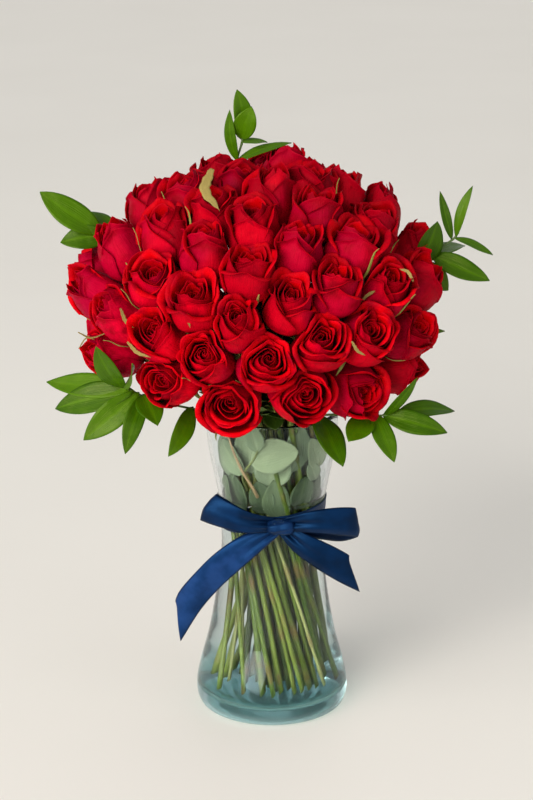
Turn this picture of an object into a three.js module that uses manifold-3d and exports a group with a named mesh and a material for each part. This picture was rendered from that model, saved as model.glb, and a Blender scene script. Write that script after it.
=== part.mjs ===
// A hand-tied bouquet of roses in a waisted glass vase with water and a satin bow.
// Millimetres, +Z up. The origin is the middle of the vase's flat base, and the front faces -Y.
import * as THREE from 'three';
import { mergeVertices } from 'three/addons/utils/BufferGeometryUtils.js';
import Module from 'manifold-3d';

const wasm = await Module();
wasm.setup();

// ---------------------------------------------------------------- driving dimensions
const GAP = 0.3;                       // between pieces that touch
const DEGREE = Math.PI / 180;

// The vase's outside, as [height, radius]: rounded heel, wide foot, waist and flared mouth.
const VASE_OUTLINE = [
  [0, 58.5], [2.5, 62.8], [9, 65.4], [20, 65.8], [38, 62.3], [62, 55.9], [91, 50.4],
  [122, 46.1], [147, 43.6], [170, 44.4], [194, 46.6], [236, 54.6], [255, 56.3], [268, 56.8],
];
const VASE_SEGMENTS = 24;
const VASE_WALL = 3.2;
const VASE_TOP = 270;
const RIM_ROUNDING = [0.35, 0.75];     // where the rim's flat lies across the wall
const FLOOR = 11;                      // top of the thick glass base
const FLOOR_CORNER = [[22, 61.4], [12.5, 50]];
const INNER_HEIGHTS = [268, 236, 194, 147, 91, 38];   // where the inside wall has its rings
const WATER_LEVEL = 194;

// The dome that the middles of the rose heads lie on.
const DOME = { middle: new THREE.Vector3(-12, 0, 364), radii: new THREE.Vector3(134, 114, 93) };
const HEAD_SPACING = 39;               // heads nearer than this press each other apart
const PRESS_ROUNDS = 30;
const LOWEST_REACH = 125 * DEGREE;     // how far round from its top the dome carries heads

// Each head: [degrees round from the front, degrees up, how open it is from 0 to 1].
const HEADS = [
  // lowest row, looking out over the vase's mouth
  [-35, -26, 0.6], [-13, -41, 1.0], [17, -31, 0.7], [45, -35, 0.6], [73, -30, 0.5], [-62, -16, 0.4],
  // widest row
  [-16, -5, 0.8], [2, -9, 0.9], [23, -2, 0.9], [40, 3, 0.5], [64, -6, 0.6], [-34, 1, 0.8], [-54, 2, 0.3],
  [-74, 9, 0.1], [-7, 10, 0.5],
  // shoulder row
  [-39, 24, 0.9], [-22, 20, 0.8], [8, 20, 0.8], [29, 26, 0.9], [47, 17, 0.4], [73, 12, 0.5], [-2, 33, 0.8],
  // upper rows
  [-74, 32, 0.2], [-46, 43, 0.4], [-21, 40, 0.5], [18, 43, 0.5], [40, 40, 0.9], [69, 43, 0.4], [96, 25, 0.2],
  [102, 42, 0.2], [-26, 55, 0.6], [1, 52, 0.5], [36, 58, 0.6], [12, 66, 0.3],
  // top
  [-90, 52, 0.2], [-62, 65, 0.5], [-20, 78, 0.5], [-142, 70, 0.3], [165, 76, 0.3], [110, 80, 0.4],
  [129, 62, 0.4], [108, 60, 0.3], [60, 76, 0.5],
  // behind
  [-125, 42, 0.5], [178, 44, 0.7], [132, 36, 0.6],
  [-98, 8, 0.5], [-126, 10, 0.8], [-156, 12, 0.6], [173, 12, 0.9], [144, 6, 0.6], [118, 3, 0.8],
  [-110, -22, 0.6], [-145, -21, 0.8], [178, -23, 0.5], [141, -25, 0.8], [106, -22, 0.6],
];
// How far up a head looks, as [degrees up on the dome, degrees up that it looks].
const FACING = [[-45, -8], [-9, 22], [20, 52], [35, 68], [60, 80], [90, 90]];
// A bud's radius and height, and what opening adds to the one and takes from the other.
const HEAD = { radius: 24.5, opening: 4.5, height: 50, flattening: 9, variation: 2 };
const HEAD_COLUMNS = 12;               // points round a head
const ROSE_NODES = 44;                 // past this the nearest heads share a node
const ONE_BODY = 0.99;                 // of a pair's volume, when its heads have grown together

// A head's surface from its foot to its heart: each ring has the petals of one layer.
// radius and height are shares of the head's, and wave and rise are what a petal's middle adds.
const HEAD_RINGS = [
  { radius: 0.70, wave: 0.00, height: 0.20, rise: 0.00, petals: 4, turn: 0.00 },
  { radius: 0.87, wave: 0.13, height: 0.62, rise: 0.11, petals: 4, turn: 0.00 },
  { radius: 0.72, wave: 0.03, height: 0.52, rise: 0.03, petals: 4, turn: 0.00 },
  { radius: 0.62, wave: 0.10, height: 0.83, rise: 0.09, petals: 4, turn: 0.50 },
  { radius: 0.44, wave: 0.00, height: 0.68, rise: 0.00, petals: 3, turn: 0.25 },
  { radius: 0.30, wave: 0.08, height: 0.92, rise: 0.08, petals: 3, turn: 0.25 },
];
const HEART_HEIGHT = 0.74;

// A petal's share of its layer's wave: it starts and ends low, and its first side laps over.
const PETAL_WAVE = { start: 0.12, end: 0.88, sharpness: 1.3, high: 1.12, low: 0.82 };

// The stems run from their heads through the vase's mouth and neck to its floor, in a spiral.
const STEM = { radius: 2.3, sides: 3, calyx: 4.6, calyxLength: 8, neck: 20 };
const MOUTH = { height: 274, radius: 42 };
const TIE = { height: 190, radius: 32, turn: 35 * DEGREE, core: 37, top: 195, thickness: 8, corners: 9 };
const BUNCH_SPACING = 0.2;            // of the bunch's radius, between neighbouring stems
const FEET = { radius: 46, turn: 75 * DEGREE, spread: 0.08, lowest: 3, step: 9 };
const SEEDS = { heads: 100, stems: 500 };

// The satin ribbon: a band round the neck that gathers to the knot, two loops and two tails.
const RIBBON = { width: 25, thickness: 0.9, middle: 178.5, clearance: 0.45 };
const KNOT = { middle: new THREE.Vector3(7, -52.4, 181.5), size: new THREE.Vector3(22, 11, 13) };
const KNOT_ROUNDS = [[-0.5, 0.55], [-0.3, 0.95], [0, 0.85], [0.3, 0.95], [0.5, 0.55]];   // [along, girth]
const KNOT_CORNERS = 8;
const BAND_PINCH = { share: 0.5, spread: 0.6 };   // how much narrower it is at the knot, and how far round

// Each strip of the bow: [across, depth, height, width, lean], lean being degrees from upright.
const BOW_STRIPS = {
  left_loop: [
    [4, -53, 183, 11, 0], [-20, -62, 188, 19, -8], [-42, -59, 195, 25, -22], [-54, -52, 198.5, 27, -33],
    [-45, -46, 192, 26, -22], [-24, -46, 183, 20, -8], [4, -51, 180, 11, 0],
  ],
  right_loop: [
    [10, -53, 183, 11, 0], [32, -61, 188, 20, 6], [56, -57, 187, 25, 4], [71, -49, 183, 26, 2],
    [58, -44, 177, 26, 4], [34, -46, 178, 20, 4], [10, -51, 180, 11, 0],
  ],
  left_tail: [
    [5, -51, 179, 11, 50], [-18, -57, 167, 21, 50], [-39, -57, 150, 25, 46], [-56, -53, 131, 25, 44],
    [-71, -48, 110, 25, 42], [-80, -45, 91, 25, 22],
  ],
  right_tail: [
    [9, -51, 179, 11, -50], [24, -56, 168, 20, -46], [42, -56, 156, 24, -38], [58, -53, 145, 25, -26],
    [69, -50, 137, 25, -2],
  ],
};

// ---------------------------------------------------------------- foliage, as real places
// A blade from root to tip: [share of its length, share of its half width].
const BLADE = [[0.14, 0.34], [0.45, 1.0], [0.78, 0.68]];
const BLADE_THICKNESS = 1.2;
const BLADE_FOLD = 0.16;               // how far a blade's edges lift, as a share of its half width
const BLADE_ARCH = 0.06;               // how far its middle lifts, as a share of its length
const TWIG_RADIUS = 1.2;
const TWIG_SIDES = 3;
const CUT_SCALE = 1.05;                // how much larger a head is when a leaf is cut clear of it

// A leafy stem: its twig's points, and leaves as { root, tip, width, facing, arch }.
const leaf = (root, tip, width, facing, arch) => ({ root, tip, width, facing, arch });
const TOP_SPRAY = {
  twig: [[-20, 0, 412], [-28, 8, 462], [-29, 10, 482], [-25, 10, 497], [-25, 10, 503]],
  leaves: [
    leaf([-25, 10, 502], [-29, 10, 541], 17, [0.5, -1, 0.1]),
    leaf([-25, 10, 500], [-17, 4, 528], 19, [0.1, -1, 0.3]),
    leaf([-29, 10, 482], [-35, 5, 525], 10, [-0.3, -1, 0.2]),
    leaf([-25, 10, 497], [-4, 15, 496], 8, [0, -0.5, 1]),
    leaf([-29, 10, 481], [16, 22, 494], 10, [0, -0.6, 1]),
  ],
};
const LEFT_SPRAY = {
  twig: [[-98, -8, 400], [-122, -5, 412], [-140, -2, 421], [-146, -1, 424]],
  leaves: [
    leaf([-143, -1, 422], [-193, 5, 456], 25, [0.3, -1, 0.6]),
    leaf([-138, -3, 420], [-176, -8, 416], 21, [0, -1, 0.5]),
    leaf([-130, -3, 416], [-160, 34, 432], 20, [-0.3, -0.2, 1]),
  ],
};
const RIGHT_SPRAY = {
  twig: [[100, -6, 384], [124, -2, 396], [140, 4, 408], [152, 6, 416], [156, 7, 421]],
  leaves: [
    leaf([125, -2, 396], [137, -8, 434], 24, [0.5, -1, 0.1]),
    leaf([150, 6, 416], [140, 12, 455], 9, [0.5, -1, 0]),
    leaf([154, 6, 418], [167, 10, 460], 9, [-0.5, -1, 0]),
    leaf([153, 6, 416], [185, 5, 402], 9, [0, -0.6, 1]),
    leaf([134, 1, 403], [181, -15, 385], 20, [0, -1, 0.8]),
    leaf([130, 2, 400], [164, 36, 402], 18, [0.1, -0.3, 1]),
    leaf([124, -1, 396], [148, 2, 372], 19, [0.6, -1, 0.2]),
  ],
};
const LEFT_LOW_SPRAY = {
  twig: [[-33, -19, 254], [-40, -28, 273], [-68, -54, 286], [-104, -67, 300], [-124, -70, 311]],
  leaves: [
    leaf([-118, -70, 307], [-188, -38, 304], 22, [0, -1, 0.7], 0.02),
    leaf([-114, -70, 306], [-180, -52, 285], 26, [0, -1, 0.7]),
    leaf([-110, -69, 304], [-155, -80, 267], 23, [0.2, -1, 0.4]),
    leaf([-106, -68, 302], [-120, -97, 261], 17, [0.3, -1, 0.2]),
    leaf([-106, -68, 302], [-93, -102, 287], 22, [0.1, -1, 0.6]),
    leaf([-122, -71, 310], [-142, -96, 352], 19, [-0.3, -1, 0.1]),
    leaf([-122, -71, 310], [-112, -110, 342], 13, [0.8, -0.6, 0.4]),
    leaf([-66, -52, 286], [-85, -92, 257], 18, [0.5, -1, 0.3]),
  ],
};
const RIGHT_LOW_SPRAY = {
  twig: [[19, -32, 257], [28, -41, 273], [56, -58, 282], [86, -64, 283], [108, -62, 284]],
  leaves: [
    leaf([92, -63, 283], [118, -84, 322], 10, [0.4, -1, 0]),
    leaf([104, -62, 284], [152, -46, 281], 18, [0, -0.7, 1]),
    leaf([92, -63, 283], [144, -76, 272], 21, [0.1, -1, 0.8]),
    leaf([86, -64, 283], [100, -92, 252], 19, [0.4, -1, 0.4]),
    leaf([80, -62, 282], [62, -98, 272], 22, [0, -0.8, 1], 0),
    leaf([38, -47, 278], [58, -91, 248], 26, [0.6, -1, 0.5]),
  ],
};
// The low sprays and the front's mouth leaves come again behind, turned round the vase.
const BEHIND = { low_left: 205 * DEGREE, low_right: 152 * DEGREE, mouth: 200 * DEGREE };

// Pale broad leaves in the vase's mouth, seen through the glass.
const MOUTH_LEAVES_FRONT = {
  twig: [[-20, -24, 203], [-24, -38, 222], [-14, -43, 240], [-10, -44, 252]],
  leaves: [
    leaf([-17, -42, 235], [22, -42, 245], 30, [0, -1, 0.1], 0.02),
    leaf([-24, -39, 224], [-42, -18, 248], 20, [-0.7, -1, 0], 0.02),
    leaf([-12, -44, 246], [-18, -44, 268], 16, [-0.2, -1, 0], 0.02),
  ],
};
const MOUTH_LEAVES_RIGHT = {
  twig: [[26, -16, 203], [38, -24, 225], [41, -24, 245], [42, -22, 255]],
  leaves: [
    leaf([38, -24, 225], [32, -36, 254], 18, [0.6, -1, 0], 0.02),
    leaf([41, -24, 240], [45, 2, 256], 20, [1, -0.2, 0], 0.02),
    leaf([36, -23, 214], [31, -31, 232], 14, [0.7, -1, 0], 0.02),
  ],
};

// ---------------------------------------------------------------- finishes
const finish = (color, roughness, extra = {}) =>
  new THREE.MeshStandardMaterial({ color, roughness, metalness: 0, ...extra });
const GLASS = finish(0xdfeaec, 0.05, { transparent: true, opacity: 0.35 });
const WATER = finish(0xc9d8cf, 0.05, { transparent: true, opacity: 0.4 });
const PETAL = finish(0xb30a1b, 0.55);
const STEM_GREEN = finish(0x5d7a34, 0.6);
const LEAF_GREEN = finish(0x4c8426, 0.35);
const PALE_GREEN = finish(0x9fb08c, 0.6);
const NAVY = finish(0x142a5e, 0.4);

// ---------------------------------------------------------------- small tools
const vec = (x, y, z) => new THREE.Vector3(x, y, z);
const UP = vec(0, 0, 1);
const mix = (a, b, share) => a + (b - a) * share;

// Repeatable draws, one stream for each use.
function draws(seed) {
  let state = seed;
  return () => {
    state = (state + 0x6d2b79f5) | 0;
    let t = Math.imul(state ^ (state >>> 15), 1 | state);
    t = (t + Math.imul(t ^ (t >>> 7), 61 | t)) ^ t;
    return ((t ^ (t >>> 14)) >>> 0) / 4294967296;
  };
}

// A closed skin over loops of points: a loop of one point is a tip, and a ring meets itself.
function skin(loops, ring = false) {
  const points = loops.flat();
  const starts = [];
  let count = 0;
  for (const loop of loops) {
    starts.push(count);
    count += loop.length;
  }
  const faces = [];
  const band = (a, b) => {
    const [sizeA, sizeB] = [loops[a].length, loops[b].length];
    const size = Math.max(sizeA, sizeB);
    for (let i = 0; i < size; i += 1) {
      const next = (i + 1) % size;
      const a0 = starts[a] + (i % sizeA);
      const a1 = starts[a] + (next % sizeA);
      const b0 = starts[b] + (i % sizeB);
      const b1 = starts[b] + (next % sizeB);
      if (sizeA > 1) faces.push(a0, a1, b1);
      if (sizeB > 1) faces.push(a0, b1, b0);
    }
  };
  for (let i = 0; i + 1 < loops.length; i += 1) band(i, i + 1);
  if (ring) {
    band(loops.length - 1, 0);
  } else {
    const last = loops.length - 1;
    for (let i = 1; i + 1 < loops[0].length; i += 1) faces.push(0, i + 1, i);
    for (let i = 1; i + 1 < loops[last].length; i += 1) {
      faces.push(starts[last], starts[last] + i, starts[last] + i + 1);
    }
  }
  const geometry = new THREE.BufferGeometry().setFromPoints(points);
  geometry.setIndex(faces);
  return outward(geometry);
}

// Turns every face of a closed skin outward.
function outward(geometry) {
  const place = geometry.getAttribute('position');
  const index = geometry.getIndex();
  const [a, b, c] = [vec(), vec(), vec()];
  let volume = 0;
  for (let i = 0; i < index.count; i += 3) {
    a.fromBufferAttribute(place, index.getX(i));
    b.fromBufferAttribute(place, index.getX(i + 1));
    c.fromBufferAttribute(place, index.getX(i + 2));
    volume += a.dot(b.cross(c));
  }
  if (volume < 0) {
    for (let i = 0; i < index.count; i += 3) {
      const first = index.getX(i);
      index.setX(i, index.getX(i + 1));
      index.setX(i + 1, first);
    }
  }
  return geometry;
}

function solid(geometry) {
  const bare = geometry.clone();
  bare.deleteAttribute('normal');
  bare.deleteAttribute('uv');
  const merged = mergeVertices(bare, 1e-5);
  return new wasm.Manifold(new wasm.Mesh({
    numProp: 3,
    vertProperties: new Float32Array(merged.getAttribute('position').array),
    triVerts: new Uint32Array(merged.getIndex().array),
  }));
}

const joined = (solids) => solids.reduce((all, next) => all.add(next));

// The largest body of a solid: loose scraps are dropped and sealed hollows are filled.
function mainBody(shape) {
  const bodies = shape.decompose();
  return bodies.reduce((best, next) => (next.volume() > best.volume() ? next : best));
}

function geometryOf(shape) {
  const mesh = shape.getMesh();
  const geometry = new THREE.BufferGeometry();
  geometry.setAttribute('position', new THREE.BufferAttribute(mesh.vertProperties, 3));
  geometry.setIndex(new THREE.BufferAttribute(mesh.triVerts, 1));
  return geometry;
}

// A closed tube along points, with a radius for each.
function tube(points, radii, sides) {
  let across = vec(1, 0, 0);
  const loops = points.map((point, i) => {
    const along = points[Math.min(i + 1, points.length - 1)].clone()
      .sub(points[Math.max(i - 1, 0)]).normalize();
    across = across.clone().addScaledVector(along, -across.dot(along)).normalize();
    const other = along.clone().cross(across);
    return Array.from({ length: sides }, (_, k) => {
      const angle = (2 * Math.PI * k) / sides;
      return point.clone()
        .addScaledVector(across, radii[i] * Math.cos(angle))
        .addScaledVector(other, radii[i] * Math.sin(angle));
    });
  });
  return skin(loops);
}

const lathe = (profile) =>
  new THREE.LatheGeometry(profile.map(([radius, z]) => new THREE.Vector2(radius, z)), VASE_SEGMENTS)
    .rotateX(Math.PI / 2);

// The value at x of a line through [x, value] points, held past its end.
function valueAt(line, x) {
  const next = line.findIndex(([at]) => x <= at);
  if (next < 0) return line[line.length - 1][1];
  const [low, high] = [line[Math.max(next - 1, 0)], line[Math.max(next, 1)]];
  return mix(low[1], high[1], (x - low[0]) / (high[0] - low[0]));
}

const vaseRadius = (height) => valueAt(VASE_OUTLINE, height);

// ---------------------------------------------------------------- vase and water
function vaseGlass() {
  const outside = VASE_OUTLINE.map(([z, radius]) => [radius, z]);
  const inside = INNER_HEIGHTS.map((z) => [vaseRadius(z) - VASE_WALL, z]);
  const floor = FLOOR_CORNER.map(([z, radius]) => [radius, z]);
  const rim = RIM_ROUNDING.map((share) => [vaseRadius(VASE_TOP) - VASE_WALL * share, VASE_TOP]);
  return lathe([[0, 0], ...outside, ...rim, ...inside, ...floor, [0, FLOOR]]);
}

function waterBody() {
  const floor = FLOOR_CORNER.map(([z, radius]) => [radius - GAP, z + GAP]).reverse();
  const reach = (z) => vaseRadius(z) - VASE_WALL - GAP;
  const wall = INNER_HEIGHTS.filter((z) => z < WATER_LEVEL).map((z) => [reach(z), z]).reverse();
  return lathe([[0, FLOOR + GAP], ...floor, ...wall, [reach(WATER_LEVEL), WATER_LEVEL], [0, WATER_LEVEL]]);
}

// ---------------------------------------------------------------- where the heads and stems are
function domeDirection(round, up) {
  return vec(Math.sin(round) * Math.cos(up), -Math.cos(round) * Math.cos(up), Math.sin(up));
}

// Points that lie nearer than spacing push each other apart, a little in each round.
function pressApart(points, spacing) {
  for (let turn = 0; turn < PRESS_ROUNDS; turn += 1) {
    for (let i = 0; i < points.length; i += 1) {
      for (let j = i + 1; j < points.length; j += 1) {
        const apart = points[j].clone().sub(points[i]);
        const lack = spacing - apart.length();
        if (lack > 0) {
          apart.setLength(lack / 4);
          points[i].sub(apart);
          points[j].add(apart);
        }
      }
    }
  }
  return points;
}

const headMiddles = pressApart(HEADS.map(([round, up]) =>
  domeDirection(round * DEGREE, up * DEGREE).multiply(DOME.radii).add(DOME.middle)), HEAD_SPACING);

// A head looks outward, and the more upward the higher it is on the dome.
function headAxis(middle, up) {
  const slope = middle.clone().sub(DOME.middle).divide(DOME.radii).divide(DOME.radii);
  const look = valueAt(FACING, up) * DEGREE;
  return slope.setZ(0).setLength(Math.cos(look)).setZ(Math.sin(look));
}

const heads = headMiddles.map((middle, i) => {
  const draw = draws(SEEDS.heads + i);
  const opened = HEADS[i][2];
  const height = HEAD.height - HEAD.flattening * opened;
  const radius = HEAD.radius + HEAD.opening * opened + HEAD.variation * (draw() - 0.5);
  const axis = headAxis(middle, HEADS[i][1]);
  const foot = middle.clone().addScaledVector(axis, -height / 2);
  const across = UP.clone().cross(axis).normalize().applyAxisAngle(axis, draw() * 2 * Math.PI);
  const other = axis.clone().cross(across);
  return { height, radius, axis, foot, across, other, tip: foot.clone().addScaledVector(axis, height) };
});

// Each stem's place in the bunch, in a disc of radius 1: the lowest heads have the outermost stems.
const bunch = pressApart(heads.map((head, i) => {
  const fromTop = (90 - HEADS[i][1]) * DEGREE;
  const share = Math.sqrt((1 - Math.cos(fromTop)) / (1 - Math.cos(LOWEST_REACH)));
  const out = head.foot.clone().sub(DOME.middle).setZ(0);
  return out.setLength(share);
}), BUNCH_SPACING);

function stemPath(head, i) {
  const draw = draws(SEEDS.stems + i);
  const at = (radius, turn, z) => bunch[i].clone().multiplyScalar(radius).applyAxisAngle(UP, turn).setZ(z);
  const footTurn = TIE.turn + FEET.turn * mix(1 - FEET.spread, 1 + FEET.spread, draw());
  const top = head.foot.clone().addScaledVector(head.axis, -GAP);
  const back = (length) => top.clone().addScaledVector(head.axis, -length);
  return [
    at(FEET.radius, footTurn, FLOOR + FEET.lowest + FEET.step * draw()),
    at(TIE.radius, TIE.turn, TIE.height), at(MOUTH.radius, 0, MOUTH.height),
    back(STEM.neck), back(STEM.calyxLength), top,
  ];
}

const stems = heads.map(stemPath);

// ---------------------------------------------------------------- keeping petals clear of what is near
// Nearest points of two straight stretches, each given by its ends.
function nearest([a, b], [c, d]) {
  const [ab, cd, ac] = [b.clone().sub(a), d.clone().sub(c), a.clone().sub(c)];
  const [e, f, g, h, k] = [ab.lengthSq(), cd.lengthSq(), ab.dot(cd), ab.dot(ac), cd.dot(ac)];
  const clamp = (value) => Math.min(1, Math.max(0, value));
  const spread = e * f - g * g;
  let s = spread > 1e-9 ? clamp((g * k - h * f) / spread) : 0;
  const t = clamp((g * s + k) / f);
  s = clamp((g * t - h) / e);
  return [a.clone().addScaledVector(ab, s), c.clone().addScaledVector(cd, t)];
}

// The planes that a head's petals stay behind: half way to the next head, and short of a stem.
function fences(head, own, partners, twigs) {
  const axisLine = [head.foot, head.tip];
  const planes = [];
  const fence = (from, to, reach) => {
    const normal = to.clone().sub(from).normalize();
    planes.push({ normal, limit: from.dot(normal) + reach });
  };
  heads.forEach((other, j) => {
    if (j === own || partners.includes(j)) return;
    const [from, to] = nearest(axisLine, [other.foot, other.tip]);
    const share = head.radius / (head.radius + other.radius);
    fence(from, to, from.distanceTo(to) * share - GAP / 2);
  });
  stems.forEach((path, j) => {
    if (j === own) return;
    for (let k = 1; k < path.length; k += 1) {
      const wide = k >= path.length - 1 ? STEM.calyx : STEM.radius;
      const [from, to] = nearest(axisLine, [path[k - 1], path[k]]);
      fence(from, to, from.distanceTo(to) - wide - GAP);
    }
  });
  for (const { path, radius } of twigs) {
    for (let k = 1; k < path.length; k += 1) {
      const [from, to] = nearest(axisLine, [path[k - 1], path[k]]);
      fence(from, to, from.distanceTo(to) - radius - GAP);
    }
  }
  return planes;
}

// How far a point may go from the axis in one direction before it meets a fence.
function room(origin, direction, planes) {
  let reach = Infinity;
  for (const { normal, limit } of planes) {
    const speed = direction.dot(normal);
    if (speed > 1e-6) reach = Math.min(reach, (limit - origin.dot(normal)) / speed);
  }
  return Math.max(reach, 0.5);
}

// ---------------------------------------------------------------- rose heads
// One petal's share of its layer: low at its sides, and proud at the side that laps over.
function petalWave(ring, column) {
  const place = (column / HEAD_COLUMNS) * ring.petals + ring.turn;
  const within = place - Math.floor(place);
  const swell = Math.sin(Math.PI * mix(PETAL_WAVE.start, PETAL_WAVE.end, within)) ** PETAL_WAVE.sharpness;
  return swell * mix(PETAL_WAVE.high, PETAL_WAVE.low, within);
}

function headSkin(head, planes) {
  const lift = vec();
  const loops = HEAD_RINGS.map((ring, level) =>
    Array.from({ length: HEAD_COLUMNS }, (_, column) => {
      const angle = (2 * Math.PI * column) / HEAD_COLUMNS;
      const direction = head.across.clone().multiplyScalar(Math.cos(angle))
        .addScaledVector(head.other, Math.sin(angle));
      const squeeze = (shape) => {
        const wave = petalWave(shape, column);
        const radius = head.radius * (shape.radius + shape.wave * wave);
        lift.copy(head.foot).addScaledVector(head.axis, head.height * (shape.height + shape.rise * wave));
        return room(lift, direction, planes) / radius;
      };
      const above = HEAD_RINGS.slice(1).map(squeeze);
      const share = Math.min(1, ...(level === 0 ? [squeeze(ring)] : above));
      const wave = petalWave(ring, column);
      return head.foot.clone()
        .addScaledVector(head.axis, head.height * (ring.height + ring.rise * wave))
        .addScaledVector(direction, head.radius * (ring.radius + ring.wave * wave) * share);
    }));
  const heart = head.foot.clone().addScaledVector(head.axis, head.height * HEART_HEIGHT);
  return skin([[head.foot.clone()], ...loops, [heart]]);
}

// The bodies of the heads in one node: they may grow into each other, and stay clear of the rest.
const headBodies = (members, twigs) =>
  members.map((i) => solid(headSkin(heads[i], fences(heads[i], i, members, twigs))));

// The nearest heads that make one body share a node, until the rest fit in ROSE_NODES.
function headGroups(twigs) {
  const pairs = [];
  heads.forEach((head, i) => heads.slice(i + 1).forEach((other, k) => {
    const [from, to] = nearest([head.foot, head.tip], [other.foot, other.tip]);
    pairs.push({ members: [i, i + 1 + k], apart: from.distanceTo(to) });
  }));
  pairs.sort((a, b) => a.apart - b.apart);
  const groups = [];
  const paired = new Set();
  for (const { members } of pairs) {
    if (heads.length - groups.length <= ROSE_NODES) break;
    if (members.some((i) => paired.has(i))) continue;
    const bodies = headBodies(members, twigs);
    const together = joined(bodies);
    const shape = mainBody(together);
    if (shape.volume() < ONE_BODY * together.volume()) continue;
    members.forEach((i) => paired.add(i));
    groups.push({ members, bodies, shape });
  }
  heads.forEach((_, i) => {
    if (paired.has(i)) return;
    const bodies = headBodies([i], twigs);
    groups.push({ members: [i], bodies, shape: mainBody(bodies[0]) });
  });
  return groups.sort((a, b) => a.members[0] - b.members[0]);
}

// ---------------------------------------------------------------- leaves
function blade({ root, tip, width, facing, arch = BLADE_ARCH }) {
  const start = vec(...root);
  const along = vec(...tip).sub(start);
  const length = along.length();
  along.normalize();
  const side = along.clone().cross(vec(...facing)).normalize();
  const normal = side.clone().cross(along).normalize();
  start.addScaledVector(along, -TWIG_RADIUS);
  const middle = (share) => start.clone()
    .addScaledVector(along, share * (length + TWIG_RADIUS))
    .addScaledVector(normal, arch * length * 4 * share * (1 - share));
  const loops = BLADE.map(([share, spread]) => {
    const half = (width / 2) * spread;
    const edge = (sign) => middle(share).addScaledVector(side, sign * half)
      .addScaledVector(normal, BLADE_FOLD * half);
    const rib = (sign) => middle(share).addScaledVector(normal, (sign * BLADE_THICKNESS) / 2);
    return [edge(1), rib(1), edge(-1), rib(-1)];
  });
  return skin([[middle(0)], ...loops, [middle(1)]]);
}

// A leafy stem as one body; turned gives it again further round the vase.
function leafyStem({ twig, leaves }, turned = 0) {
  const path = twig.map((point) => vec(...point));
  const parts = [tube(path, path.map(() => TWIG_RADIUS), TWIG_SIDES), ...leaves.map(blade)];
  return joined(parts.map((part) => solid(part.rotateZ(turned))));
}

// ---------------------------------------------------------------- ribbon
function ribbonBand() {
  const half = RIBBON.width / 2;
  const loops = Array.from({ length: VASE_SEGMENTS }, (_, i) => {
    const angle = (2 * Math.PI * i) / VASE_SEGMENTS;
    const fromKnot = Math.atan2(Math.sin(angle + Math.PI / 2), Math.cos(angle + Math.PI / 2));
    const pinch = Math.exp(-((fromKnot / BAND_PINCH.spread) ** 2));
    const high = half * (1 - BAND_PINCH.share * pinch);
    const middle = mix(RIBBON.middle, KNOT.middle.z, pinch);
    const at = (radius, z) => vec(radius * Math.cos(angle), radius * Math.sin(angle), z);
    const [low, top] = [middle - high, middle + high];
    const inside = (z) => vaseRadius(z) + RIBBON.clearance;
    const outside = (z) => inside(z) + RIBBON.thickness;
    return [at(inside(low), low), at(outside(low), low), at(outside(middle), middle), at(outside(top), top),
      at(inside(top), top), at(inside(middle), middle)];
  });
  return skin(loops, true);
}

// One strip of the bow: its middle line with a width and a lean at each point.
function bowStrip(stations) {
  const middles = stations.map(([x, y, z]) => vec(x, y, z));
  const loops = stations.map(([, , , width, lean], i) => {
    const ahead = middles[Math.min(i + 1, middles.length - 1)];
    const along = ahead.clone().sub(middles[Math.max(i - 1, 0)]).normalize();
    const across = vec(Math.sin(-lean * DEGREE), 0, Math.cos(lean * DEGREE));
    const normal = along.clone().cross(across).normalize().multiplyScalar(RIBBON.thickness / 2);
    const edge = (sign) => middles[i].clone().addScaledVector(across, (sign * width) / 2);
    return [edge(1).add(normal), edge(1).sub(normal), edge(-1).sub(normal), edge(-1).add(normal)];
  });
  return skin(loops);
}

function bowKnot() {
  const loops = KNOT_ROUNDS.map(([share, girth]) => Array.from({ length: KNOT_CORNERS }, (_, k) => {
    const angle = (2 * Math.PI * (k + 0.5)) / KNOT_CORNERS;
    return vec(share, (Math.cos(angle) * girth) / 2, (Math.sin(angle) * girth) / 2)
      .multiply(KNOT.size).add(KNOT.middle);
  }));
  return skin(loops);
}

// ---------------------------------------------------------------- build
const group = new THREE.Group();
function piece(name, geometry, material) {
  const mesh = new THREE.Mesh(geometry, material);
  mesh.name = name;
  group.add(mesh);
}

piece('vase_glass', vaseGlass(), GLASS);

const stemRadii = [STEM.radius, STEM.radius, STEM.radius, STEM.radius, STEM.radius, STEM.calyx];

// All stems as one body round the core at the tie, or the room that they need.
function stemBundle(extra) {
  const ends = [vec(0, 0, TIE.top - TIE.thickness - extra), vec(0, 0, TIE.top + extra)];
  const core = tube(ends, ends.map(() => TIE.core + extra), TIE.corners);
  const radii = stemRadii.map((radius) => radius + 2 * extra);
  const lines = stems.map((path) => {
    const cutEnd = path[0].clone().addScaledVector(path[0].clone().sub(path[1]).normalize(), extra);
    return [cutEnd, ...path.slice(1)];
  });
  return mainBody(joined([core, ...lines.map((path) => tube(path, radii, STEM.sides))].map(solid)));
}
const stemRoom = stemBundle(GAP);
piece('rose_stems', geometryOf(stemBundle(0)), STEM_GREEN);
piece('water', geometryOf(mainBody(solid(waterBody()).subtract(stemRoom))), WATER);

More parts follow.
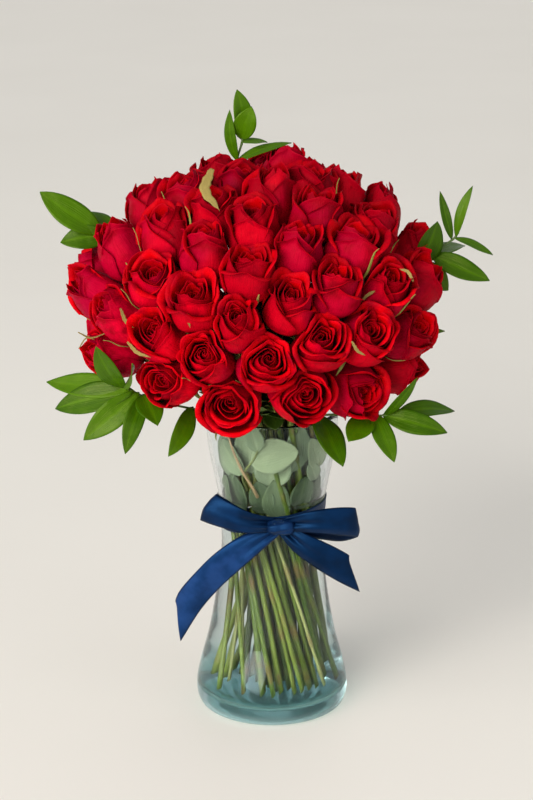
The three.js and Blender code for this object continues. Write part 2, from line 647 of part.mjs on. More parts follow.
const foliage = [
  ['ruscus_top', TOP_SPRAY, 0, LEAF_GREEN], ['ruscus_left', LEFT_SPRAY, 0, LEAF_GREEN],
  ['ruscus_right', RIGHT_SPRAY, 0, LEAF_GREEN], ['ruscus_low_left', LEFT_LOW_SPRAY, 0, LEAF_GREEN],
  ['ruscus_low_right', RIGHT_LOW_SPRAY, 0, LEAF_GREEN],
  ['ruscus_behind_right', LEFT_LOW_SPRAY, BEHIND.low_left, LEAF_GREEN],
  ['ruscus_behind_left', RIGHT_LOW_SPRAY, BEHIND.low_right, LEAF_GREEN],
  ['mouth_leaves_front', MOUTH_LEAVES_FRONT, 0, PALE_GREEN],
  ['mouth_leaves_right', MOUTH_LEAVES_RIGHT, 0, PALE_GREEN],
  ['mouth_leaves_behind', MOUTH_LEAVES_FRONT, BEHIND.mouth, PALE_GREEN],
];
const twigs = foliage.map(([, spray, turned]) => ({
  path: spray.twig.map((point) => vec(...point).applyAxisAngle(UP, turned)), radius: TWIG_RADIUS,
}));

const roses = headGroups(twigs);
for (const { members, shape } of roses) {
  const numbers = members.map((i) => String(i + 1).padStart(2, '0'));
  piece(`rose_${numbers.join('_')}`, geometryOf(shape), PETAL);
}

// A leafy stem with what would run into a head or a rose stem cut away.
function cutClear(shape) {
  const blockers = roses.flatMap(({ bodies }) => bodies).filter((head) => shape.intersect(head).volume() > 0);
  const roomy = blockers.map((head) => {
    const box = head.boundingBox();
    const middle = [0, 1, 2].map((k) => (box.min[k] + box.max[k]) / 2);
    return head.translate(middle.map((value) => -value)).scale(CUT_SCALE).translate(middle);
  });
  if (shape.intersect(stemRoom).volume() > 0) roomy.push(stemRoom);
  return mainBody(roomy.reduce((left, blocker) => left.subtract(blocker), shape));
}
for (const [name, spray, turned, material] of foliage) {
  piece(name, geometryOf(cutClear(leafyStem(spray, turned))), material);
}

piece('ribbon_band', ribbonBand(), NAVY);
const bowParts = [bowKnot(), ...Object.values(BOW_STRIPS).map(bowStrip)];
piece('bow', geometryOf(joined(bowParts.map(solid))), NAVY);

export default group;
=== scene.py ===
# A hand-tied bouquet of roses in a waisted glass vase: its looks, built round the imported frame.
# Metres, +Z up, and the front faces -Y. Tables of places are in millimetres, as in the solids.
import math

import bpy
import numpy as np
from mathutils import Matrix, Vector


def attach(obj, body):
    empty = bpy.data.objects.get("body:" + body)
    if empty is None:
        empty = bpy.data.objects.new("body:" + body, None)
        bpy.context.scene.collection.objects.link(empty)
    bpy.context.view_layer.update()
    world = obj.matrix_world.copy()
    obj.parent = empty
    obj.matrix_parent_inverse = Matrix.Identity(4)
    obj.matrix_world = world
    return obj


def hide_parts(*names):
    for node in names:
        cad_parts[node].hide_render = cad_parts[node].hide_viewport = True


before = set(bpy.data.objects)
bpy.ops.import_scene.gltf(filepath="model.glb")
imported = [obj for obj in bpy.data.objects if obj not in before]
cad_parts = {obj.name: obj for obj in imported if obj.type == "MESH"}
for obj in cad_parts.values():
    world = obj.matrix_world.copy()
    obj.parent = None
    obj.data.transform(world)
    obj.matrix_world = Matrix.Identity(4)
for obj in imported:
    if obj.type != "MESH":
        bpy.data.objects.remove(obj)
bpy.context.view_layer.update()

MM = 0.001
DEGREE = math.pi / 180
UP = np.array((0.0, 0.0, 1.0))

# ---------------------------------------------------------------- camera
PICTURE = (533, 800)
FOCAL_PIXELS = 2467
CAMERA = {"aim": (-4.7, 0.0, 276.0), "pitch": 17.8 * DEGREE, "distance": 2100.5}


def linked(name, data):
    """A new object in the scene."""
    made = bpy.data.objects.new(name, data)
    bpy.context.scene.collection.objects.link(made)
    return made


def add_camera():
    data = bpy.data.cameras.new("camera")
    data.sensor_width = 36
    data.lens = FOCAL_PIXELS * data.sensor_width / PICTURE[1]
    data.clip_end = 50
    camera = linked("camera", data)
    pitch = CAMERA["pitch"]
    back = np.array((0.0, -math.cos(pitch), math.sin(pitch)))
    camera.location = (np.array(CAMERA["aim"]) + back * CAMERA["distance"]) * MM
    camera.rotation_euler = (math.pi / 2 - pitch, 0, 0)
    bpy.context.scene.camera = camera


# ---------------------------------------------------------------- driving dimensions
GAP = 0.3                        # between a head and its stem's end

# The vase's outside, as (height, radius): rounded heel, wide foot, waist and flared mouth.
VASE_OUTLINE = (
    (0, 58.5), (2.5, 62.8), (9, 65.4), (20, 65.8), (38, 62.3), (62, 55.9), (91, 50.4),
    (122, 46.1), (147, 43.6), (170, 44.4), (194, 46.6), (236, 54.6), (255, 56.3), (268, 56.8),
)
VASE_WALL = 3.2
FLOOR = 11                       # top of the thick glass base
# The rest of the vase's profile, as (radius, height): over the rim, the inner corner and the foot.
VASE_RIM = [(56.6, 269.3), (55.9, 270), (54.9, 270), (54.0, 269.3)]
VASE_CORNER = [(60.6, 20), (58.6, 16.5), (55.5, 14), (51, 12.2)]
VASE_FOOT = [(1, 0.9), (20, 0.8), (40, 0.5), (52, 0.15), (56, 0)]
INNER_WALL = (266, 24)           # the heights between which the inside follows the outside
FLOOR_RADIUS = 47                # of the flat floor inside
WATER_LEVEL = 194
WATER_OVERLAP = 0.2              # how far the water reaches into the glass
# The water's raised edge, as (how far in from the glass, how far above the water's level).
MENISCUS = ((-WATER_OVERLAP, 0.9), (0.6, 0.5), (1.6, 0.15), (3.2, 0))

# The dome that the middles of the rose heads lie on.
DOME_MIDDLE = np.array((-12.0, 0.0, 364.0))
DOME_RADII = np.array((134.0, 114.0, 93.0))
HEAD_SPACING = 39
PRESS_ROUNDS = 30
LOWEST_REACH = 125 * DEGREE

# Each head: (degrees round from the front, degrees up, how open it is from 0 to 1).
HEADS = (
    (-35, -26, 0.6), (-13, -41, 1.0), (17, -31, 0.7), (45, -35, 0.6), (73, -30, 0.5),
    (-62, -16, 0.4), (-16, -5, 0.8), (2, -9, 0.9), (23, -2, 0.9), (40, 3, 0.5), (64, -6, 0.6),
    (-34, 1, 0.8), (-54, 2, 0.3), (-74, 9, 0.1), (-7, 10, 0.5), (-39, 24, 0.9), (-22, 20, 0.8),
    (8, 20, 0.8), (29, 26, 0.9), (47, 17, 0.4), (73, 12, 0.5), (-2, 33, 0.8), (-74, 32, 0.2),
    (-46, 43, 0.4), (-21, 40, 0.5), (18, 43, 0.5), (40, 40, 0.9), (69, 43, 0.4), (96, 25, 0.2),
    (102, 42, 0.2), (-26, 55, 0.6), (1, 52, 0.5), (36, 58, 0.6), (12, 66, 0.3), (-90, 52, 0.2),
    (-62, 65, 0.5), (-20, 78, 0.5), (-142, 70, 0.3), (165, 76, 0.3), (110, 80, 0.4),
    (129, 62, 0.4), (108, 60, 0.3), (60, 76, 0.5), (-125, 42, 0.5), (178, 44, 0.7),
    (132, 36, 0.6), (-98, 8, 0.5), (-126, 10, 0.8), (-156, 12, 0.6), (173, 12, 0.9),
    (144, 6, 0.6), (118, 3, 0.8), (-110, -22, 0.6), (-145, -21, 0.8), (178, -23, 0.5),
    (141, -25, 0.8), (106, -22, 0.6),
)
# How far up a head looks, as (degrees up on the dome, degrees up that it looks).
FACING = ((-45, -8), (-9, 22), (20, 52), (35, 68), (60, 80), (90, 90))
HEAD_RADIUS = 24.5
HEAD_OPENING = 4.5
HEAD_HEIGHT = 50
HEAD_FLATTENING = 9
HEAD_VARIATION = 2

STEM_STEPS = 16                  # points in each stretch of a stem's line
STEM_RADIUS = 2.3
CALYX_RADIUS = 4.6
CALYX_LENGTH = 8
NECK = 20
MOUTH_HEIGHT = 274
MOUTH_RADIUS = 42
TIE_HEIGHT = 190
TIE_RADIUS = 32
TIE_TURN = 35 * DEGREE
BUNCH_SPACING = 0.2
FEET_RADIUS = 46
FEET_TURN = 75 * DEGREE
FEET_SPREAD = 0.08
FEET_LOWEST = 3
FEET_STEP = 9

# Where the streams of draws start. The solids draw from the first two as well.
SEEDS = {"heads": 100, "stem_paths": 500, "petals": 900, "stems": 2000, "sepals": 3000,
         "foliage": 4000, "bow": 5000, "rose_leaves": 6000, "collars": 7000, "under_leaves": 8000,
         "dry_sepals": 9000}

# The petal layers from the heart outward. Each pair is (in a bud, in an open rose): radius is where
# the rim stands and belly where the petal is fullest, as shares of the head's radius, height is the
# rim's share of the head's, and roll is how far the lip turns out, in degrees. span is half a petal's
# reach round, in radians, wind how much further out its one side stands than the other, lip the lip's
# length in millimetres, rounding how much its corners are cut, and filling how far it spreads into
# free space.
LAYER_PARTS = ("petals", "radius", "belly", "height", "span", "wind", "roll", "lip", "rounding",
               "filling")
LAYERS = [dict(zip(LAYER_PARTS, row)) for row in (
    (2, (0.04, 0.09), (0.15, 0.17), (0.92, 0.68), 2.4, 0.50, (4, 8), 0.8, 0.08, 1.0),
    (2, (0.09, 0.17), (0.24, 0.27), (0.96, 0.74), 2.1, 0.40, (7, 14), 1.2, 0.10, 1.0),
    (3, (0.15, 0.26), (0.36, 0.37), (0.99, 0.80), 1.7, 0.26, (9, 22), 1.8, 0.12, 1.0),
    (3, (0.22, 0.38), (0.50, 0.48), (1.01, 0.87), 1.6, 0.20, (13, 36), 2.6, 0.15, 1.0),
    (3, (0.31, 0.51), (0.64, 0.61), (1.02, 0.92), 1.5, 0.15, (18, 56), 4.0, 0.19, 1.0),
    (3, (0.43, 0.65), (0.77, 0.74), (1.00, 0.92), 1.4, 0.11, (26, 76), 5.5, 0.23, 1.0),
    (4, (0.58, 0.80), (0.88, 0.86), (0.90, 0.82), 1.2, 0.09, (36, 92), 7.0, 0.28, 1.04),
)]
LAYER_TURN = 2.4                 # from one layer's first petal to the next one's, in radians
HEAD_TILT = 7 * DEGREE           # how far a head's petals lean from its stem, at most
OPENING_VARIATION = (-0.2, 0.3)  # what a head's petals add to how open it is
PETAL_THICKNESS = 0.5
PETAL_EDGE = 0.25                # the rim's thickness as a share of that
PETAL_COLUMNS = (15, 17)         # of points across a petal, the second for one that spans more than
WIDE_SPAN = 1.4
BODY_ROWS = 8
LIP_ROWS = 5
TIP_REACH = 0.07                 # how far a petal's point stands out, as a share of its length

# A leafy stem: its twig's points, and leaves as (root, tip, width, facing), with the arch after them
# where it isn't ARCH. The arch is how far a blade's middle lifts, as a share of its length.
ARCH = 0.06
SPRAYS = {
    "ruscus_top": {
        "twig": ((-20, 0, 412), (-28, 8, 462), (-29, 10, 482), (-25, 10, 497), (-25, 10, 503)),
        "leaves": (
            ((-25, 10, 502), (-29, 10, 541), 17, (0.5, -1, 0.1)),
            ((-25, 10, 500), (-17, 4, 528), 19, (0.1, -1, 0.3)),
            ((-29, 10, 482), (-35, 5, 525), 10, (-0.3, -1, 0.2)),
            ((-25, 10, 497), (-4, 15, 496), 8, (0, -0.5, 1)),
            ((-29, 10, 481), (16, 22, 494), 10, (0, -0.6, 1)),
        ),
    },
    "ruscus_left": {
        "twig": ((-98, -8, 400), (-122, -5, 412), (-140, -2, 421), (-146, -1, 424)),
        "leaves": (
            ((-143, -1, 422), (-193, 5, 456), 25, (0.3, -1, 0.6)),
            ((-138, -3, 420), (-176, -8, 416), 21, (0, -1, 0.5)),
            ((-130, -3, 416), (-160, 34, 432), 20, (-0.3, -0.2, 1)),
        ),
    },
    "ruscus_right": {
        "twig": ((100, -6, 384), (124, -2, 396), (140, 4, 408), (152, 6, 416), (156, 7, 421)),
        "leaves": (
            ((125, -2, 396), (137, -8, 434), 24, (0.5, -1, 0.1)),
            ((150, 6, 416), (140, 12, 455), 9, (0.5, -1, 0)),
            ((154, 6, 418), (167, 10, 460), 9, (-0.5, -1, 0)),
            ((153, 6, 416), (185, 5, 402), 9, (0, -0.6, 1)),
            ((134, 1, 403), (181, -15, 385), 20, (0, -1, 0.8)),
            ((130, 2, 400), (164, 36, 402), 18, (0.1, -0.3, 1)),
            ((124, -1, 396), (148, 2, 372), 19, (0.6, -1, 0.2)),
        ),
    },
    "ruscus_low_left": {
        "twig": ((-33, -19, 254), (-40, -28, 273), (-68, -54, 286), (-104, -67, 300), (-124, -70, 311)),
        "leaves": (
            ((-118, -70, 307), (-188, -38, 304), 22, (0, -1, 0.7), 0.02),
            ((-114, -70, 306), (-180, -52, 285), 26, (0, -1, 0.7)),
            ((-110, -69, 304), (-155, -80, 267), 23, (0.2, -1, 0.4)),
            ((-106, -68, 302), (-120, -97, 261), 17, (0.3, -1, 0.2)),
            ((-106, -68, 302), (-93, -102, 287), 22, (0.1, -1, 0.6)),
            ((-122, -71, 310), (-142, -96, 352), 19, (-0.3, -1, 0.1)),
            ((-122, -71, 310), (-112, -110, 342), 13, (0.8, -0.6, 0.4)),
            ((-66, -52, 286), (-85, -92, 257), 18, (0.5, -1, 0.3)),
        ),
    },
    "ruscus_low_right": {
        "twig": ((19, -32, 257), (28, -41, 273), (56, -58, 282), (86, -64, 283), (108, -62, 284)),
        "leaves": (
            ((92, -63, 283), (118, -84, 322), 10, (0.4, -1, 0)),
            ((104, -62, 284), (152, -46, 281), 18, (0, -0.7, 1)),
            ((92, -63, 283), (144, -76, 272), 21, (0.1, -1, 0.8)),
            ((86, -64, 283), (100, -92, 252), 19, (0.4, -1, 0.4)),
            ((80, -62, 282), (62, -98, 272), 22, (0, -0.8, 1), 0),
            ((38, -47, 278), (58, -91, 248), 26, (0.6, -1, 0.5)),
        ),
    },
    "mouth_leaves_front": {
        "twig": ((-20, -24, 203), (-24, -38, 222), (-14, -43, 240), (-10, -44, 252)),
        "leaves": (
            ((-17, -42, 235), (22, -42, 245), 30, (0, -1, 0.1), 0.02),
            ((-24, -39, 224), (-42, -18, 248), 20, (-0.7, -1, 0), 0.02),
            ((-12, -44, 246), (-18, -44, 268), 16, (-0.2, -1, 0), 0.02),
        ),
    },
    "mouth_leaves_right": {
        "twig": ((26, -16, 203), (38, -24, 225), (41, -24, 245), (42, -22, 255)),
        "leaves": (
            ((38, -24, 225), (32, -36, 254), 18, (0.6, -1, 0), 0.02),
            ((41, -24, 240), (45, 2, 256), 20, (1, -0.2, 0), 0.02),
            ((36, -23, 214), (31, -31, 232), 14, (0.7, -1, 0), 0.02),
        ),
    },
}
# What comes again behind: node, the spray that it repeats, and how far round it is turned.
BEHIND = (
    ("ruscus_behind_right", "ruscus_low_left", 205 * DEGREE),
    ("ruscus_behind_left", "ruscus_low_right", 152 * DEGREE),
    ("mouth_leaves_behind", "mouth_leaves_front", 200 * DEGREE),
)
TWIG_RADIUS = 1.2
TWIG_STEPS = 8
TWIG_SIDES = 8
BLADE_FOLD = 0.16
BLADE_THICKNESS = 0.6
BLADE_ROWS = 19
BLADE_COLUMNS = 11

# The satin ribbon: a band round the neck that gathers to the knot, two loops and two tails.
RIBBON_WIDTH = 25
RIBBON_THICKNESS = 0.5
BAND_MIDDLE = 178.5
BAND_CLEARANCE = 0.6
BAND_PINCH = 0.5
BAND_PINCH_SPREAD = 0.6
KNOT_MIDDLE = np.array((7.0, -52.4, 181.5))
KNOT_SIZE = np.array((22.0, 11.0, 13.0))
KNOT_FULLER = np.array((1.05, 1.5, 1.05))
KNOT_FORWARD = np.array((0.0, -2.5, 0.0))
KNOT_ROWS = 33
KNOT_SIDES = 48
# The knot's tint as (painted light, side, painted shade): half lit, and darkened as in the gathers.
KNOT_LIGHT_AND_SHADE = (0.5, 1.0, 0.4)

# Each strip of the bow: (across, depth, height, width, lean), lean being degrees from upright.
BOW_STRIPS = {
    "left_loop": (
        (4, -53, 183, 11, 0), (-20, -62, 188, 19, -8), (-42, -59, 195, 25, -22),
        (-54, -52, 198.5, 27, -33), (-45, -46, 192, 26, -22), (-24, -46, 183, 20, -8),
        (4, -51, 180, 11, 0),
    ),
    "right_loop": (
        (10, -53, 183, 11, 0), (32, -61, 188, 20, 6), (56, -57, 187, 25, 4), (71, -49, 183, 26, 2),
        (58, -44, 177, 26, 4), (34, -46, 178, 20, 4), (10, -51, 180, 11, 0),
    ),
    "left_tail": (
        (5, -51, 179, 11, 50), (-18, -57, 167, 21, 50), (-39, -57, 150, 25, 46),
        (-56, -53, 131, 25, 44), (-71, -48, 110, 25, 42), (-80, -45, 91, 25, 22),
    ),
    "right_tail": (
        (9, -51, 179, 11, -50), (24, -56, 168, 20, -46), (42, -56, 156, 24, -38),
        (58, -53, 145, 25, -26), (69, -50, 137, 25, -2),
    ),
}
STRIP_ROWS = 10                  # rows of faces in each stretch of a strip
STRIP_COLUMNS = 15
STRIP_SWELL = 2.4                # how far a strip's middle stands out from its edges
BAND_STEPS = 121                 # rows of points round the neck
GATHER_REACH = 17                # how fast the pleats fade away from the knot
TAIL_SLANT = -0.6                # how far a tail's end is cut aslant
TAIL_SLANT_REACH = 14
SELVAGE = 0.93                   # where a ribbon's firm edge begins, from 0 in its middle to 1
# Painted light for each piece of the bow and for the band round the neck, from 0 to 1: lighter and
# darker copies of the same navy satin.
BOW_PAINTED_LIGHT = {"left_loop": 0.10, "right_loop": 0.0, "left_tail": 1.0, "right_tail": 0.0}
BAND_PAINTED_LIGHT = 0.5

# The space that a head may fill, as (share of height, share of radius).
ENVELOPE = ((0.0, 0.45), (0.2, 0.75), (0.5, 0.92), (0.75, 1.02), (0.95, 0.85), (1.1, 0.6))


# ---------------------------------------------------------------- small tools
def unit(vector):
    return vector / np.linalg.norm(vector)


def turned(vector, axis, angle):
    """The vector turned about a unit axis."""
    cosine, sine = math.cos(angle), math.sin(angle)
    return (vector * cosine + np.cross(axis, vector) * sine
            + axis * np.dot(axis, vector) * (1 - cosine))


def mix(low, high, share):
    return low + (high - low) * share


def run_along(line):
    """How far along a line each of its points lies."""
    return np.concatenate(((0,), np.cumsum(np.linalg.norm(np.diff(line, axis=0), axis=1))))


def heading(swing, rise=0.0):
    """The direction that lies swing round from +X and rise up, both in radians."""
    return np.array((math.cos(swing), math.sin(swing), 0)) * math.cos(rise) + UP * math.sin(rise)


WORD = 0xFFFFFFFF


def draws(use, number=0):
    """Repeatable draws from 0 to 1, one stream for each use and number."""
    state = SEEDS[use] + number

    def draw():
        nonlocal state
        state = (state + 0x6D2B79F5) & WORD
        value = ((state ^ (state >> 15)) * (1 | state)) & WORD
        value = ((value + (((value ^ (value >> 7)) * (61 | value)) & WORD)) & WORD) ^ value
        return (value ^ (value >> 14)) / 4294967296

    return draw


def press_apart(points, spacing):
    """Points that lie nearer than spacing push each other apart, a little in each round."""
    for _ in range(PRESS_ROUNDS):
        for i in range(len(points)):
            for j in range(i + 1, len(points)):
                apart = points[j] - points[i]
                length = math.sqrt(apart @ apart)
                if length < spacing:
                    push = apart * ((spacing - length) / 4 / length)
                    points[i] = points[i] - push
                    points[j] = points[j] + push
    return points


def spline(points, per_stretch):
    """A smooth line through rows of numbers, by the centripetal rule."""
    rows = np.array(points, float)
    rows = np.vstack((2 * rows[0] - rows[1], rows, 2 * rows[-1] - rows[-2]))
    made = []
    for i in range(1, len(rows) - 2):
        a, b, c, d = rows[i - 1:i + 3]
        t1 = max(np.linalg.norm((b - a)[:3]), 1e-6) ** 0.5
        t2 = t1 + max(np.linalg.norm((c - b)[:3]), 1e-6) ** 0.5
        t3 = t2 + max(np.linalg.norm((d - c)[:3]), 1e-6) ** 0.5
        for t in np.linspace(t1, t2, per_stretch, endpoint=False):
            ab = (t1 - t) / t1 * a + t / t1 * b
            bc = (t2 - t) / (t2 - t1) * b + (t - t1) / (t2 - t1) * c
            cd = (t3 - t) / (t3 - t2) * c + (t - t2) / (t3 - t2) * d
            abc = (t2 - t) / t2 * ab + t / t2 * bc
            bcd = (t3 - t) / (t3 - t1) * bc + (t - t1) / (t3 - t1) * cd
            made.append((t2 - t) / (t2 - t1) * abc + (t - t1) / (t2 - t1) * bcd)
    made.append(rows[-2])
    return np.array(made)


def piece(name, mesh, material, stands_for):
    """A smooth piece that rides on the frame and, unless stands_for is None, stands for a node of the
    solids."""
    mesh.polygons.foreach_set("use_smooth", np.ones(len(mesh.polygons), bool))
    mesh.materials.append(material)
    made = linked(name, mesh)
    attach(made, "root")
    if stands_for:
        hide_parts(stands_for)
    return made


class Shape:
    """Collects grids of points, in millimetres, into one mesh with a UV map and a tint."""

    def __init__(self):
        self.points, self.faces, self.uvs, self.tints = [], [], [], []
        self.count = 0

    def add(self, points, uv, tint):
        """Adds points with a UV and a tint each, and returns the first one's number."""
        start = self.count
        self.points.append(points)
        self.uvs.append(uv)
        self.tints.append(tint)
        self.count += len(points)
        return start

    def leaf(self, grid, thickness, drawn, edge, uv=None):
        """A closed thin leaf over a grid (rows, columns, 3). thickness and edge are one number, or
        one for each column, row or point. The tint is (drawn, side, edge), with side 1 outside."""
        rows, columns = grid.shape[:2]
        size = rows * columns
        normal = np.cross(np.gradient(grid, axis=1), np.gradient(grid, axis=0))
        normal /= np.maximum(np.linalg.norm(normal, axis=2, keepdims=True), 1e-9)
        half = normal * (np.broadcast_to(thickness, (rows, columns)) / 2)[..., None]
        edge = np.broadcast_to(edge, (rows, columns)).ravel()
        if uv is None:
            across, along = np.meshgrid(np.linspace(0, 1, columns), np.linspace(0, 1, rows))
            uv = np.stack((across, along), -1)
        for sign in (1, -1):
            tint = np.stack((np.full(size, drawn), np.full(size, (1 + sign) / 2), edge), -1)
            self.add((grid + sign * half).reshape(-1, 3), uv.reshape(-1, 2), tint)
        front = np.arange(size).reshape(rows, columns) + self.count - 2 * size
        quads = np.stack((front[:-1, :-1], front[:-1, 1:], front[1:, 1:], front[1:, :-1]), -1)
        ring = np.concatenate((front[0, :-1], front[:-1, -1], front[-1, :0:-1], front[:0:-1, 0]))
        after = np.roll(ring, -1)
        self.faces += [quads.reshape(-1, 4), (quads + size).reshape(-1, 4)[:, ::-1],
                       np.stack((after, ring, ring + size, after + size), -1)]

    def body(self, loops, ends, uv, tint):
        """A closed body through loops (rows, sides, 3), with a fan to a point at each end."""
        rows, sides = loops.shape[:2]
        start = self.add(loops.reshape(-1, 3), uv.reshape(-1, 2), tint.reshape(-1, 3))
        number = np.arange(rows * sides).reshape(rows, sides) + start
        after = np.roll(number, -1, axis=1)
        walls = np.stack((number[:-1], after[:-1], after[1:], number[1:]), -1)
        self.faces.append(walls.reshape(-1, 4))
        start = self.add(np.array(ends), uv[[0, -1], 0], tint[[0, -1], 0])
        for near, far, end in ((after[0], number[0], start), (number[-1], after[-1], start + 1)):
            middle = np.full(sides, end)
            self.faces.append(np.stack((near, far, middle, middle), -1))

    def tube(self, middles, radii, sides, drawn, edge=0.0, cut=0.0):
        """A closed tube along middles with a radius for each. cut slants its first end."""
        count = len(middles)
        along = np.gradient(middles, axis=0)
        along /= np.linalg.norm(along, axis=1, keepdims=True)
        across = np.array((1.0, 0.0, 0.0))
        angle = np.arange(sides) * 2 * math.pi / sides
        loops = np.zeros((count, sides, 3))
        for i in range(count):
            across = unit(across - along[i] * (across @ along[i]))
            other = np.cross(along[i], across)
            ring = np.outer(np.cos(angle), across) + np.outer(np.sin(angle), other)
            loops[i] = middles[i] + ring * radii[i]
        loops[0] += np.outer(np.cos(angle) * cut * radii[0], along[0])
        whole = np.ones((count, sides))
        run = run_along(middles)[:, None]
        uv = np.stack((whole * np.arange(sides) / sides, whole * run / 100), -1)
        edge = np.reshape(np.broadcast_to(edge, count), (-1, 1))
        self.body(loops, middles[[0, -1]], uv, np.stack((whole * drawn, whole, whole * edge), -1))

    def made(self, name, material, slot, stands_for=None, angle=0.0):
        """The mesh as a piece of the object, in metres, turned about the vase by angle."""
        points = np.concatenate(self.points) * MM
        cosine, sine = math.cos(angle), math.sin(angle)
        points = points @ np.array(((cosine, sine, 0), (-sine, cosine, 0), (0, 0, 1)))
        faces = np.concatenate(self.faces)
        uvs = np.concatenate(self.uvs)
        tints = np.concatenate(self.tints)
        size = np.where(faces[:, 2] == faces[:, 3], 3, 4)
        start = np.concatenate(((0,), np.cumsum(size)[:-1]))
        keep = np.ones(faces.shape, bool)
        keep[size == 3, 3] = False
        corners = faces[keep]
        mesh = bpy.data.meshes.new(name)
        mesh.vertices.add(len(points))
        mesh.vertices.foreach_set("co", points.astype(np.float32).ravel())
        mesh.loops.add(len(corners))
        mesh.loops.foreach_set("vertex_index", corners.astype(np.int32))
        mesh.polygons.add(len(faces))
        mesh.polygons.foreach_set("loop_start", start.astype(np.int32))
        mesh.update(calc_edges=True)
        mesh.validate()
        layer = mesh.uv_layers.new(name="UVMap")
        layer.data.foreach_set("uv", uvs[corners].astype(np.float32).ravel())
        colour = mesh.attributes.new("tint", "FLOAT_COLOR", "POINT")
        filled = np.concatenate((tints, np.ones((len(tints), 1))), 1)
        colour.data.foreach_set("color", filled.astype(np.float32).ravel())
        return piece(name, mesh, material, stands_for)


# ---------------------------------------------------------------- materials
class Nodes:
    """A material's node tree, built node by node."""

    def __init__(self, name):
        self.material = bpy.data.materials.new(name)
        self.material.use_nodes = True
        self.tree = self.material.node_tree
        self.shader = self.tree.nodes["Principled BSDF"]

    def add(self, kind, inputs=(), **settings):
        node = self.tree.nodes.new("ShaderNode" + kind)
        for key, value in settings.items():
            setattr(node, key, value)
        for key, value in dict(inputs).items():
            self.put(node.inputs[key], value)
        return node

    def put(self, socket, value):
        if isinstance(value, bpy.types.NodeSocket):
            self.tree.links.new(value, socket)
        else:
            socket.default_value = value

    def set(self, **values):
        for key, value in values.items():
            self.put(self.shader.inputs[key.replace("_", " ")], value)

    def math(self, operation, *values, clamp=False):
        node = self.add("Math", operation=operation, use_clamp=clamp)
        for socket, value in zip(node.inputs, values):
            self.put(socket, value)
        return node.outputs[0]

    def scaled(self, value, factor, offset=0.0):
        return self.math("MULTIPLY_ADD", value, factor, offset)

    def mix(self, share, low, high):
        node = self.add("Mix", data_type="RGBA", clamp_factor=True)
        self.put(node.inputs[0], share)
        for socket, value in ((node.inputs[6], low), (node.inputs[7], high)):
            self.put(socket, value if isinstance(value, bpy.types.NodeSocket) else (*value, 1))
        return node.outputs[2]

    def over(self, colour, share, top, most=1.0):
        """The colour with top laid over it. A share of 1 covers it by most."""
        return self.mix(share if most == 1 else self.scaled(share, most), colour, top)

    def ramp(self, value, stops):
        """A share from 0 at the first stop to 1 at the second, which may be the lower one."""
        return self.add("MapRange", {"Value": value, "From Min": stops[0], "From Max": stops[1]},
                        interpolation_type="SMOOTHSTEP").outputs["Result"]

    def noise(self, vector, scale, detail=3.0, roughness=0.5):
        return self.add("TexNoise", {"Vector": vector, "Scale": scale, "Detail": detail,
                                     "Roughness": roughness}).outputs["Fac"]

    def stretched(self, vector, scale):
        return self.add("Mapping", {"Vector": vector, "Scale": scale}).outputs[0]

    def place(self):
        """The place on the object, in metres."""
        return self.add("TexCoord").outputs["Object"]

    def xyz(self, vector):
        return self.add("SeparateXYZ", {"Vector": vector}).outputs

    def uv(self):
        return self.add("UVMap", uv_map="UVMap").outputs[0]

    def tint(self):
        """(drawn tint, which side, edge) of the surface."""
        split = self.add("SeparateColor", {
            "Color": self.add("Attribute", attribute_name="tint").outputs["Color"]})
        return split.outputs[0], split.outputs[1], split.outputs[2]

    def let_lamps_through(self, tint):
        """Light from the lamps passes straight through, tinted, and lights what stands inside."""
        from_lamp = self.add("LightPath").outputs["Is Shadow Ray"]
        clear = self.add("BsdfTransparent", {"Color": (*tint, 1)})
        shown = self.add("MixShader", {"Fac": from_lamp})
        self.put(shown.inputs[1], self.shader.outputs[0])
        self.put(shown.inputs[2], clear.outputs[0])
        self.put(self.tree.nodes["Material Output"].inputs["Surface"], shown.outputs[0])

    def bump(self, height, distance, strength=1.0):
        node = self.add("Bump", {"Height": height, "Distance": distance, "Strength": strength})
        self.put(self.shader.inputs["Normal"], node.outputs[0])


